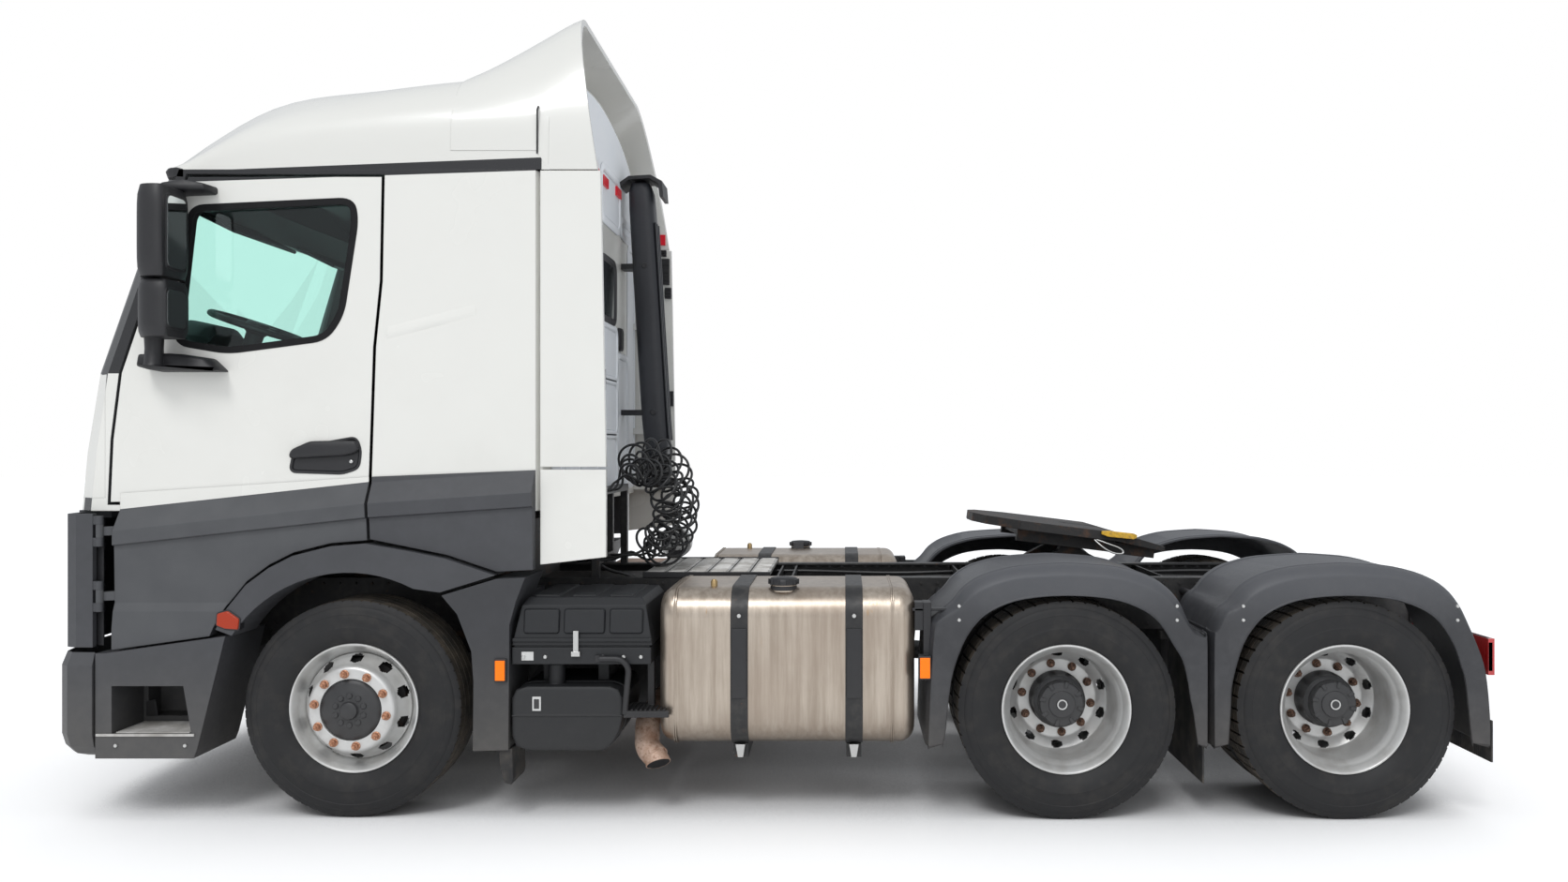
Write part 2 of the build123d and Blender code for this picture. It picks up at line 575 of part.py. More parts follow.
def make_wheels():
    rim, rubber = front_rim(), tyre(0)
    at = Pos(0, FRONT_TYRE_Y, AXLE_Z)
    for name, flip in (("left", False), ("right", True)):
        for kind, shape in (("tyre", rubber), ("rim", rim)):
            placed = at * shape
            save(f"front_{name}_{kind}", other(placed) if flip else placed)
    rims = dual_rims()
    pair_of_tyres = (tyre(DUAL_HALF), tyre(-DUAL_HALF))
    for number, x in enumerate(REAR_AXLES, 1):
        at = Pos(x, DUAL_MID_Y, AXLE_Z)
        for name, flip in (("left", False), ("right", True)):
            tyres = [at * t for t in pair_of_tyres]
            placed = at * rims
            save(f"rear{number}_{name}_tyres", *[other(t) if flip else t for t in tyres])
            save(f"rear{number}_{name}_rims", other(placed) if flip else placed)


# ---- along the sides ----------------------------------------------------------------
def make_side_gear():
    band = box(-1385, -747, 560, 1215, 718, 795) + box(-1378, -754, 568, 1207, 795, 806)
    lid = loft([Pos(0, 0, 805) * outline([(-1391, 600), (-747, 600), (-747, 1215), (-1391, 1215)]),
                Pos(0, 0, 985) * outline([(-1358, 632), (-785, 632), (-785, 1186), (-1358, 1186)]),
                Pos(0, 0, 1018) * outline([(-1335, 655), (-808, 655), (-808, 1150), (-1335, 1150)])], ruled=True)
    for x in (-1290, -1115, -940):
        rib = box(x, x + 110, 690, 1120, 1015, 1026)
        lid = lid + rib
    save("battery_box", band + lid + box(-1300, -840, RAIL_OUT, 660, 820, 950))

    urea = side([(-747, 392), (-767, 342), (-817, 322), (-1165, 322), (-1205, 350), (-1240, 410), (-1256, 483),
                 (-1256, 560), (-1236, 600), (-1196, 615), (-817, 615), (-767, 600), (-747, 560)], 760, 1215)
    for x in (-900, -1160):
        urea = urea + box(x, x + 50, 800, 1050, 610, 718)
    save("urea_tank", urea + post(40, -930, 1120, 610, 706))

    # fold-out step on a bent tube
    tread = plan([(-1264, 1242), (-1470, 1242), (-1470, 1214), (-1408, 1200), (-1367, 1050), (-1285, 1050)], 478, 508)
    bow = tube([(-1153, 1231, 745), (-1290, 1231, 745), (-1268, 1231, 493)], 14, 60)
    lug = box(-1175, -1131, 1215, 1233, 730, 760) + box(-1382, -1352, 1060, 1100, 500, 718)
    save("side_step", tread + bow + lug)

    silencer = side([(-760, 330), (-1380, 330), (-1380, 980), (-760, 980)], -1215, -560, radius=60)
    pipe = tube([(-1250, -650, 415), (-1335, -400, 415), (-1335, 1000, 410), (-1345, 1075, 300), (-1400, 1122, 262)],
                58, 90)
    stay = box(-1200, -900, -560, -RAIL_OUT, 800, 960)
    save("exhaust", silencer + pipe + stay)

    rear = REAR_AXLES[0] + 698
    section = [(500, 333), (1200, 333), (1200, 1060), (500, 1060)]
    left, right = [front(section, rear, x, radius=130) for x in (-1417, -1450)]
    left, right = [fillet(t.faces().filter_by(Axis.X).edges(), 70) for t in (left, right)]
    cap = post(60, rear + 612, 1090, 1040, 1094)
    save("fuel_tanks", left + cap, other(right + cap))

    straps = []
    for x in (rear + 812, rear + 282):
        ring = front([(494, 327), (1206, 327), (1206, 1066), (494, 1066)], x - 40, x + 40, radius=136)
        ring -= front(section, x - 50, x + 50, radius=130)
        hook = box(x - 35, x + 35, RAIL_OUT, 494, 262, 1000) + box(x - 35, x + 35, 440, 1100, 262, 327)
        straps += pair(ring + hook)
    save("tank_straps", *straps)

    walk = box(REAR_AXLES[0] + 1416, -1214, -430, 430, RAIL_TOP, 1052)
    for k in range(5):
        walk = walk + box(-1300 - 130 * k, -1288 - 130 * k, -430, 430, 1052, 1060)
    save("catwalk", walk)


# Half outlines of a rear mudguard: distance along x from the axle, height.
CROWN = ((110, 1170), (250, 1156), (385, 1118), (470, 1065), (525, 1000))
CREASE = ((100, 1126), (240, 1114), (370, 1074), (448, 1030), (503, 972))
LIP = ((115, 1035), (240, 1015), (350, 970), (420, 912), (483, 812))
# The feet they run down into: crown, crease and lip of each.
LONG_FOOT = (((600, 935), (632, 880), (652, 345)), ((580, 925), (612, 870), (640, 345)),
             ((535, 650), (560, 420), (575, 345)))
# Between the wheels: behind the first, then ahead of the second.
HIND_FOOT = (((548, 935), (590, 858), (644, 846), (650, 820), (650, 345)),
             ((530, 925), (575, 850), (632, 838), (638, 812), (638, 345)),
             ((545, 690), (575, 500), (596, 345)))
FORE_FOOT = (((574, 960), (618, 870), (627, 828), (625, 345)),
             ((555, 950), (600, 862), (614, 820), (613, 345)),
             ((530, 650), (545, 420), (551, 345)))
TAIL_FOOT = (((568, 910), (625, 765), (648, 644), (660, 460), (660, 350)),
             ((547, 897), (608, 755), (633, 644), (648, 460), (648, 350)),
             ((535, 650), (560, 420), (570, 350)))
FENDER_SKIN, CROWN_Y, CREASE_Y = 12, 1190, 1240


def thick_line(points, by):
    """Closed band on the inner side of an open line of points."""
    moved = []
    for i, (x, z) in enumerate(points):
        before = points[max(i - 1, 0)]
        after = points[min(i + 1, len(points) - 1)]
        dx, dz = after[0] - before[0], after[1] - before[1]
        size = math.hypot(dx, dz)
        moved.append((x + by * -dz / size, z + by * dx / size))
    return list(points) + moved[::-1]


def mudguard(axle, front_foot, rear_foot, stays):
    crown, crease, lip = [
        [(axle + x, z) for x, z in reversed(half + ahead)] + [(axle - x, z) for x, z in half + behind]
        for half, ahead, behind in zip((CROWN, CREASE, LIP), front_foot, rear_foot)
    ]
    bands = [thick_line(line, FENDER_SKIN) for line in (crown, crease)]
    faces = [Plane(origin=(0, y, 0), x_dir=(1, 0, 0), z_dir=(0, -1, 0)) * outline(band)
             for band, y in zip(bands, (CROWN_Y, CREASE_Y))]
    guard = side(bands[0], 600, CROWN_Y) + loft(faces, ruled=True)
    guard = guard + side(crease + lip[::-1], CREASE_Y - FENDER_SKIN, CREASE_Y)
    for x, z in stays:
        guard = guard + tube([(axle + x, RAIL_OUT, z), (axle + x, CROWN_Y - 5, z)], 20, 0)
    return guard


def make_rear():
    guards = [mudguard(REAR_AXLES[0], LONG_FOOT, HIND_FOOT, ((540, 958), (-515, 955))),
              mudguard(REAR_AXLES[1], FORE_FOOT, TAIL_FOOT, ((528, 966), (-525, 945)))]
    save("rear_fenders", *[g for guard in guards for g in pair(guard)])
    flaps = (box(REAR_AXLES[0] - 638, REAR_AXLES[0] - 630, 600, 1188, 163, 815),
             box(REAR_AXLES[1] - 668, REAR_AXLES[1] - 660, 600, 1225, 269, 460))
    save("mudflaps", *[f for flap in flaps for f in pair(flap)])


def tilted(shape):
    return Pos(PLATE_X, 0, PLATE_Z) * Rot(0, -PLATE_REST, 0) * shape


PLATE_EDGE = [(540, 0), (528, 150), (470, 300), (300, 430), (260, 445), (0, 455), (-250, 440), (-400, 400),
              (-495, 320), (-495, 200), (-130, 20), (-10, 15)]


def make_fifth_wheel():
    top, under = PLATE_TOP, PLATE_UNDER
    edge = PLATE_EDGE + [(x, -y) for x, y in reversed(PLATE_EDGE[1:])]
    plate = plan(edge, under, top) - side([(-200, top), (-520, 4), (-520, top + 5), (-200, top + 5)], -500, 500)
    # sloping ramps behind, ribs and jaw block below
    ramps = side([(-200, under), (-500, -18), (-500, 8), (-200, 40)], -500, 500) & plan(edge, -60, top)
    plate = plate + ramps
    plate -= post(COUPLING_PIN, 0, 0, under - 10, top + 10)
    for y0, y1 in ((290, 330), (-330, -290)):
        plate = plate + box(-230, 300, y0, y1, -55, under)
    plate = plate + box(250, 280, -330, 330, -30, under)
    plate = plate + box(-330, -60, -150, 150, -50, under) + box(-440, -230, 210, 330, -60, 0) + box(-440, -230, -330, -210, -60, 0)
    for y0, y1 in ((240, 290), (-290, -240)):
        plate = plate + box(-48, 48, y0, y1, -30, under) + disc(50, 0, y0, y1, 0)
    for hand in (1, -1):
        plate -= disc(PLATE_PIN + RUNNING, 0, hand * 230, hand * 286, 0) + disc(44, 0, hand * 166, hand * 238, 0)
    save("fifth_wheel_plate", tilted(max(plate.solids(), key=lambda s: s.volume)))

    deck = box(PLATE_X - 330, PLATE_X + 330, -430, 430, RAIL_TOP, RAIL_TOP + 22)
    foot = RAIL_TOP + 20
    stand = side([(PLATE_X - 250, foot), (PLATE_X + 250, foot), (PLATE_X + 170, 1105), (PLATE_X + 62, 1160),
                  (PLATE_X + 34, 1222), (PLATE_X - 34, 1222), (PLATE_X - 62, 1160), (PLATE_X - 170, 1105)], 172, 232)
    stand = stand + disc(38, PLATE_X, 172, 232, PLATE_Z) + disc(PLATE_PIN, PLATE_X, 232, 284, PLATE_Z)
    save("fifth_wheel_base", deck + stand + other(stand))


# Centre line of each hanging coil in side view.
COIL_LINE = [(-1075, 1600), (-1130, 1660), (-1290, 1660), (-1400, 1430), (-1330, 1190), (-1180, 1130)]
COIL_R, LEAD_R = 68, 8
HOSES = (("hose_supply", 90), ("hose_control", 240), ("hose_electric", 390))


def make_behind_cab():
    rack = box(-985, -945, -RAIL_OUT, RAIL_OUT, 1460, 1500) + box(-985, -945, 20, RAIL_OUT, 1100, 1140)
    for y in (-RAIL_OUT, RAIL_OUT - 40):
        rack = rack + box(-985, -945, y, y + 40, RAIL_TOP, 1500)
    rack = rack + box(-985, -945, 20, 50, 1100, 1500)
    save("hose_rack", rack)
    # curly hoses: the space that each coil fills, and its two leads to the rack
    for name, y in HOSES:
        coil = tube([(x, y, z) for x, z in COIL_LINE], COIL_R, 100)
        (x0, z0), (x1, z1) = COIL_LINE[0], COIL_LINE[-1]
        leads = (tube([(-985, y, 1480), (-1015, y, 1480), (x0 - 8, y, z0 + 9)], LEAD_R, 20)
                 + tube([(x1 - 15, y, z1 - 4), (-1015, y, 1120), (-985, y, 1120)], LEAD_R, 20))
        save(name, coil + leads)


def main():
    make_cab()
    make_grille()
    make_lower_panels()
    make_doors()
    make_interior()
    make_cab_arms()
    make_intake()
    make_frame()
    make_bumper()
    make_steps()
    make_mudguards()
    make_power()
    make_axles()
    make_wheels()
    make_side_gear()
    make_rear()
    make_fifth_wheel()
    make_behind_cab()


if __name__ == "__main__":
    main()
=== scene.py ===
"""Tractor unit: shapes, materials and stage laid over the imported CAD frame."""

import math

import bmesh
import bpy
from bpy.props import FloatProperty, FloatVectorProperty, IntProperty, PointerProperty
from mathutils import Matrix, Vector


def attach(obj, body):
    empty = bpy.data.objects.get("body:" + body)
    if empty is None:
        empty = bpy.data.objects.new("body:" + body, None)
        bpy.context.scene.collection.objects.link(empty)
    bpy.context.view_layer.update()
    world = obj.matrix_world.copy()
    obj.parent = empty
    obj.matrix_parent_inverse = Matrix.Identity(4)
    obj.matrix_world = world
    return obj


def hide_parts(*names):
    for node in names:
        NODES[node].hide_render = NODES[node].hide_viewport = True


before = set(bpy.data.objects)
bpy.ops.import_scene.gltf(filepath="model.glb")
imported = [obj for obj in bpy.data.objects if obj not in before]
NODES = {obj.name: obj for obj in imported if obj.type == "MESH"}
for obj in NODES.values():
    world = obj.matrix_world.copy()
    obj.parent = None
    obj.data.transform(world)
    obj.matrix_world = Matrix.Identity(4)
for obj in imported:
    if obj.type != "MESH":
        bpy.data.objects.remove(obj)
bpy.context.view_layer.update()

bl_info = {
    "name": "Tractor unit",
    "version": (1, 0, 0),
    "blender": (4, 5, 0),
    "location": "View3D > Sidebar > Tractor",
    "description": "Builds a cab-over tractor unit over its CAD frame",
    "category": "Object",
}

# Places in millimetres: x from the front axle, y left of the middle, z above the ground.
AXLE = 1922.5  # the front axle is this far ahead of the origin
REAR = (-3300, -4585)  # rear axles
HUB = 505  # height of the wheels' middles, and the tyres' radius
FRONT_WHEEL = 1045  # y of a front wheel's middle
TWINS = (729, 1074)  # y of each of two twin tyres
TWIN_MIDDLE = 901.5
CAB_HALF = 1149.5  # half the cab's width
CAB_BACK = -899
ROOF_SEAM = 3010
RAKE = 0.3384  # how far the windscreen leans back for each millimetre up
SIDES = (("left", 1), ("right", -1))


def at(x, y, z):
    """Millimetres from the front axle, as a point of the row frame."""
    return Vector(((x + AXLE) / 1000, y / 1000, z / 1000))


def mm(length):
    """A length setting, in millimetres."""
    return round(length * 1000, 3)


# ---- lines ------------------------------------------------------------------------------
def smooth(points, steps=4, closed=False):
    """Catmull-Rom line through the points."""
    n = len(points)
    out = []
    for i in range(n if closed else n - 1):
        near = [(i + k) % n if closed else min(max(i + k, 0), n - 1) for k in (-1, 0, 1, 2)]
        a, b, c, d = (Vector(points[k]) for k in near)
        bend, twist = a * 2 - b * 5 + c * 4 - d, b * 3 - a - c * 3 + d
        for t in (k / steps for k in range(steps)):
            out.append(tuple((b * 2 + (c - a) * t + bend * t ** 2 + twist * t ** 3) / 2))
    if not closed:
        out.append(tuple(points[-1]))
    return out


def rounded(points, radius, steps=4):
    """Closed outline with its corners rounded."""
    out = []
    for i, p in enumerate(points):
        p, a, b = Vector(p), Vector(points[i - 1]), Vector(points[(i + 1) % len(points)])
        start = p + (a - p) * min(radius / (a - p).length, 0.45)
        end = p + (b - p) * min(radius / (b - p).length, 0.45)
        for t in (k / steps for k in range(steps + 1)):
            out.append(tuple(start.lerp(p, t).lerp(p.lerp(end, t), t)))
    return out


def rect(u0, u1, v0, v1):
    """Rectangular outline."""
    return [(u0, v0), (u1, v0), (u1, v1), (u0, v1)]


def grow(points, by):
    """Closed outline moved outwards, or inwards when by is below 0."""
    area = sum(a[0] * b[1] - b[0] * a[1] for a, b in zip(points, points[1:] + points[:1]))
    turn = by if area > 0 else -by
    out = []
    for i, p in enumerate(points):
        along = (Vector(points[(i + 1) % len(points)]) - Vector(points[i - 1])).normalized()
        out.append((p[0] + turn * along.y, p[1] - turn * along.x))
    return out


def lay(outline, axis, place, side=1):
    """Flat outline set at a place along an axis; side -1 mirrors it to the right."""
    if axis == "x":
        return [(place, side * u, v) for u, v in outline]
    if axis == "y":
        return [(u, side * place, v) for u, v in outline]
    return [(u, side * v, place) for u, v in outline]


def mirrored(half):
    """Ring from a left half that starts on the middle line, the right one first."""
    return [(x, -y, *z) for x, y, *z in reversed(half[1:])] + half


def read(line, x):
    """Second number of a line of points where its first is x."""
    line = sorted(line)
    for a, b in zip(line, line[1:]):
        if a[0] <= x <= b[0]:
            return a[1] + (b[1] - a[1]) * (x - a[0]) / max(b[0] - a[0], 1e-9)
    return line[0][1] if x < line[0][0] else line[-1][1]


def turns(count, start=0.0):
    """Angles of equal steps round a circle, the first start steps on."""
    return [2 * math.pi * (k + start) / count for k in range(count)]


# ---- meshes ---------------------------------------------------------------------------
class Shape:
    """Vertices and faces in millimetres from the front axle, gathered into one mesh."""

    def __init__(self):
        self.verts, self.faces, self.slots, self.soft = [], [], [], []

    def add(self, verts, faces, slot=0, soft=False):
        start = len(self.verts)
        self.verts += [tuple(v) for v in verts]
        self.faces += [[i + start for i in face] for face in faces]
        self.slots += [slot] * len(faces)
        self.soft += [soft] * len(faces)
        return self

    def box(self, x0, x1, y0, y1, z0, z1, slot=0):
        xs, ys, zs = sorted((x0, x1)), sorted((y0, y1)), sorted((z0, z1))
        verts = [(x, y, z) for x in xs for y in ys for z in zs]
        faces = [(0, 1, 3, 2), (4, 6, 7, 5), (0, 4, 5, 1), (2, 3, 7, 6), (0, 2, 6, 4), (1, 5, 7, 3)]
        return self.add(verts, faces, slot)

    def rings(self, rings, slot=0, soft=True, closed=True, caps=True, round_=False):
        """Skin over rings of equally many points."""
        n = len(rings[0])
        verts = [p for ring in rings for p in ring]
        faces = []
        for r in range(len(rings) if round_ else len(rings) - 1):
            a, b = r * n, (r + 1) % len(rings) * n
            for i in range(n if closed else n - 1):
                j = (i + 1) % n
                faces.append((a + i, a + j, b + j, b + i))
        if caps and not round_:
            faces.append(tuple(range(n - 1, -1, -1)))
            faces.append(tuple(range((len(rings) - 1) * n, len(rings) * n)))
        return self.add(verts, faces, slot, soft)

    def stack(self, outline, axis, steps, slot=0, soft=False, caps=True, side=1):
        """Skin over one outline; each step is how far it grows and its place on the axis."""
        rings = [lay(grow(outline, by), axis, place, side) for by, place in steps]
        return self.rings(rings, slot, soft, caps=caps)

    def rib(self, x0, x1, y0, y1, z, up, steep, slot=0):
        """Flat-topped rib along x; steep is how far its ends and its sides draw in."""
        a, b = steep
        low = [(x0, y0, z), (x0, y1, z), (x1, y1, z), (x1, y0, z)]
        top = [(x0 + a, y0 + b, z + up), (x0 + a, y1 - b, z + up), (x1 - a, y1 - b, z + up),
               (x1 - a, y0 + b, z + up)]
        return self.rings([low, top], slot, soft=False)

    def lathe(self, profile, centre, axis="y", count=48, slot=0, soft=True):
        """(radius, distance along the axis) profile turned about an axis through centre."""
        rings = []
        x, y, z = centre
        for a in turns(count):
            ring = []
            for r, d in profile:
                u, v = r * math.cos(a), r * math.sin(a)
                ring.append({"x": (x + d, y + u, z + v), "y": (x + u, y + d, z + v),
                             "z": (x + u, y + v, z + d)}[axis])
            rings.append(ring)
        return self.rings(rings, slot, soft, closed=False, caps=False, round_=True)

    def copies(self, moves):
        """The gathered mesh repeated under each move (a function of a point)."""
        verts, faces, slots, soft = self.verts, self.faces, self.slots, self.soft
        self.verts, self.faces, self.slots, self.soft = [], [], [], []
        for move in moves:
            start = len(self.verts)
            self.verts += [tuple(move(v)) for v in verts]
            self.faces += [[i + start for i in f] for f in faces]
            self.slots += slots
            self.soft += soft
        return self

    def both_sides(self):
        return self.copies([lambda v: v, lambda v: (v[0], -v[1], v[2])])

    def place(self, name, body, paints, bevel=0.0, sharp=35, levels=0, replaces=()):
        """Makes the object, gives each slot its finish by name and lets it ride on a body."""
        mesh = bpy.data.meshes.new(name)
        mesh.from_pydata([at(*v) for v in self.verts], [], self.faces)
        for paint in paints.split():
            mesh.materials.append(palette(paint))
        mesh.polygons.foreach_set("material_index", self.slots)
        mesh.polygons.foreach_set("use_smooth", [bool(levels or bevel or s) for s in self.soft])
        mesh.update()
        work = bmesh.new()
        work.from_mesh(mesh)
        bmesh.ops.remove_doubles(work, verts=work.verts, dist=1e-6)
        bmesh.ops.recalc_face_normals(work, faces=work.faces)
        for edge in work.edges:
            if not edge.is_manifold or edge.calc_face_angle(0) > math.radians(sharp):
                edge.smooth = False
        work.to_mesh(mesh)
        work.free()
        obj = ride(name, mesh, body)
        if bevel:
            mod = obj.modifiers.new("bevel", "BEVEL")
            mod.width = bevel / 1000
            mod.segments = 2
            mod.limit_method = "ANGLE"
            mod.angle_limit = math.radians(30)
            mod.harden_normals = True
        if levels:
            mod = obj.modifiers.new("levels", "SUBSURF")
            mod.levels = mod.render_levels = levels
        if replaces:
            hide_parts(*replaces)
        return obj


def linked(name, data):
    """New object in the scene."""
    obj = bpy.data.objects.new(name, data)
    bpy.context.scene.collection.objects.link(obj)
    return obj


def ride(name, data, body):
    """New object that moves with a body."""
    obj = linked(name, data)
    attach(obj, body)
    return obj


def curve(name, points, radius, body, paint, detail=(4, 12), caps=True):
    """Round bar along a smooth line of points in metres."""
    data = bpy.data.curves.new(name, "CURVE")
    data.dimensions = "3D"
    data.bevel_depth = radius / 1000
    data.bevel_resolution, data.resolution_u = detail
    data.use_fill_caps = caps
    line = data.splines.new("NURBS")
    line.points.add(len(points) - 1)
    for p, q in zip(line.points, points):
        p.co = (*q, 1)
    line.order_u = 3
    line.use_endpoint_u = True
    data.materials.append(palette(paint))
    return ride(name, data, body)


# ---- shader sums ----------------------------------------------------------------------
class Val:
    """A shader value that can stand in a sum."""

    def __init__(self, paint, out):
        self.paint, self.out = paint, out

    def _do(self, op, *args):
        return self.paint.math(op, *args)

    def __add__(self, o):
        return self._do("ADD", self, o)

    def __sub__(self, o):
        return self._do("SUBTRACT", self, o)

    def __rsub__(self, o):
        return self._do("SUBTRACT", o, self)

    def __mul__(self, o):
        return self._do("MULTIPLY", self, o)

    def __pow__(self, o):
        return self._do("POWER", self, o)

    def __gt__(self, o):
        return self._do("GREATER_THAN", self, o)

    def __lt__(self, o):
        return self._do("LESS_THAN", self, o)

    def __abs__(self):
        return self._do("ABSOLUTE", self)

    __radd__, __rmul__ = __add__, __mul__

    def least(self, o):
        return self._do("MINIMUM", self, o)

    def most(self, o):
        return self._do("MAXIMUM", self, o)

    def ramp(self, low, high):
        """0 below low, 1 above high, smooth between."""
        return self.paint.node("ShaderNodeMapRange", interpolation_type="SMOOTHSTEP", Value=self,
                               From_Min=low, From_Max=high)

    def wave(self, period):
        """Sine of the value, once round in each period, from 0 to 1."""
        return self._do("SINE", self * (2 * math.pi / period)) * 0.5 + 0.5


class Nodes:
    """A node tree being written."""

    def __init__(self, tree):
        self.tree = tree

    def link(self, value, socket):
        if isinstance(value, Val):
            self.tree.links.new(value.out, socket)
        elif hasattr(value, "__len__") and len(value) == 3 and socket.type == "RGBA":
            socket.default_value = (*value, 1)
        else:
            socket.default_value = value

    def node(self, kind, out=0, feeds=(), **given):
        """Settings and sockets by name, feeds by number; out is a socket's name or number."""
        made = self.tree.nodes.new(kind)
        settings = {key: value for key, value in given.items() if key in made.bl_rna.properties}
        for key, value in settings.items():
            setattr(made, key, value)
        for key, value in given.items():
            if key not in settings:
                name = key.replace("_", " ")
                self.link(value, next(s for s in made.inputs if s.enabled and s.name == name))
        for number, value in feeds:
            self.link(value, made.inputs[number])
        outs = [s for s in made.outputs if s.enabled]
        return Val(self, next(s for s in outs if s.name == out) if isinstance(out, str) else outs[out])

    def math(self, op, *args):
        return self.node("ShaderNodeMath", operation=op, feeds=enumerate(args))


class Paint(Nodes):
    """One material being written."""

    def __init__(self, name):
        self.mat = bpy.data.materials.new(name)
        self.mat.use_nodes = True
        super().__init__(self.mat.node_tree)
        self.bsdf = self.tree.nodes["Principled BSDF"]
        self.where = self.node("ShaderNodeTexCoord", out="Object")

    def xyz(self):
        """Millimetres from the front axle."""
        made = self.node("ShaderNodeSeparateXYZ", Vector=self.where).out.node
        x, y, z = (Val(self, s) * 1000 for s in made.outputs)
        return x - AXLE, y, z

    def noise(self, scale, detail=3, rough=0.55, stretch=None):
        vector = self.where
        if stretch:
            vector = self.node("ShaderNodeMapping", Vector=vector, Scale=stretch)
        return self.node("ShaderNodeTexNoise", Vector=vector, Scale=scale, Detail=detail, Roughness=rough)

    def mix(self, share, a, b):
        return self.node("ShaderNodeMix", data_type="RGBA", Factor=share, A=a, B=b)

    def finish(self, colour, rough=0.5, metal=0.0, bump=None, soft_edge=0.0, **more):
        """bump is (height, depth in mm); soft_edge rounds the shading of edges, mm."""
        sets = {"Base Color": colour, "Roughness": rough, "Metallic": metal}
        sets.update({key.replace("_", " "): value for key, value in more.items()})
        for key, value in sets.items():
            self.link(value, self.bsdf.inputs[key])
        normal = {}
        if soft_edge:
            normal = {"Normal": self.node("ShaderNodeBevel", samples=4, Radius=soft_edge / 1000)}
        if bump:
            normal = {"Normal": self.node("ShaderNodeBump", Height=bump[0], Distance=bump[1] / 1000, **normal)}
        for value in normal.values():
            self.link(value, self.bsdf.inputs["Normal"])
        return self.mat


# Plastics: material, colour, roughness, dust low down, softness of edges in mm.
PLASTICS = {
    "arch_grey": ("arch_plastic", (0.033, 0.034, 0.038), 0.5, 0.5, 5),
    "duct_grey": ("duct_plastic", (0.020, 0.0215, 0.0265), 0.42, 0.1, 8),
    "black": ("black_plastic", (0.014, 0.014, 0.016), 0.42, 0.12, 5),
    "box_black": ("box_plastic", (0.0078, 0.0088, 0.0108), 0.5, 0.10, 8),
    "hub_black": ("hub_black", (0.022, 0.023, 0.026), 0.4, 0.2, 3),
    "cap_blue": ("cap_blue", (0.050, 0.075, 0.12), 0.4, 0.1, 2),
    "dash_grey": ("dash_plastic", (0.035, 0.036, 0.038), 0.55, 0.0, 8),
}

# Mottled finishes: material, noise (scale, detail), its ramp, the two colours, roughness,
# metallic, bump (scale, detail, depth in mm), softness of edges in mm, more settings.
MOTTLED = {
    "seal": ("window_seal", (30.0, 2), None, (0.007, 0.007, 0.008), (0.014, 0.014, 0.015), 0.7, 0.0,
             (500.0, 2, 0.05), 0, {"Specular_IOR_Level": 0.2}),
    "brass": ("brass", (90.0, 3), None, (0.30, 0.20, 0.09), (0.55, 0.40, 0.20), 0.4, 0.7, None, 1, {}),
    "nut_rust": ("nut_rust", (160.0, 4), (0.35, 0.7), (0.30, 0.135, 0.075), (0.62, 0.33, 0.21), 0.45, 0.6,
                 (700.0, 3, 0.2), 1.5, {}),
    "nut_dark": ("nut_dark", (160.0, 4), (0.35, 0.7), (0.045, 0.028, 0.02), (0.24, 0.13, 0.085), 0.5, 0.5,
                 (700.0, 3, 0.2), 1.5, {}),
    "wall_blue": ("wall_paint", (5.0, 4), None, (0.82, 0.86, 0.91), (0.90, 0.92, 0.94), 0.35, 0.0,
                  (900.0, 1, 0.02), 4, {}),
    "tread": ("tyre_tread", (12.0, 5), (0.3, 0.7), (0.028, 0.025, 0.021), (0.085, 0.068, 0.050), 0.78, 0.0,
              (300.0, 4, 0.5), 0, {}),
    "yellow": ("yellow_handle", (60.0, 4), (0.4, 0.7), (0.78, 0.46, 0.03), (0.45, 0.26, 0.05), 0.45, 0.0,
               (300.0, 3, 0.2), 2, {}),
}


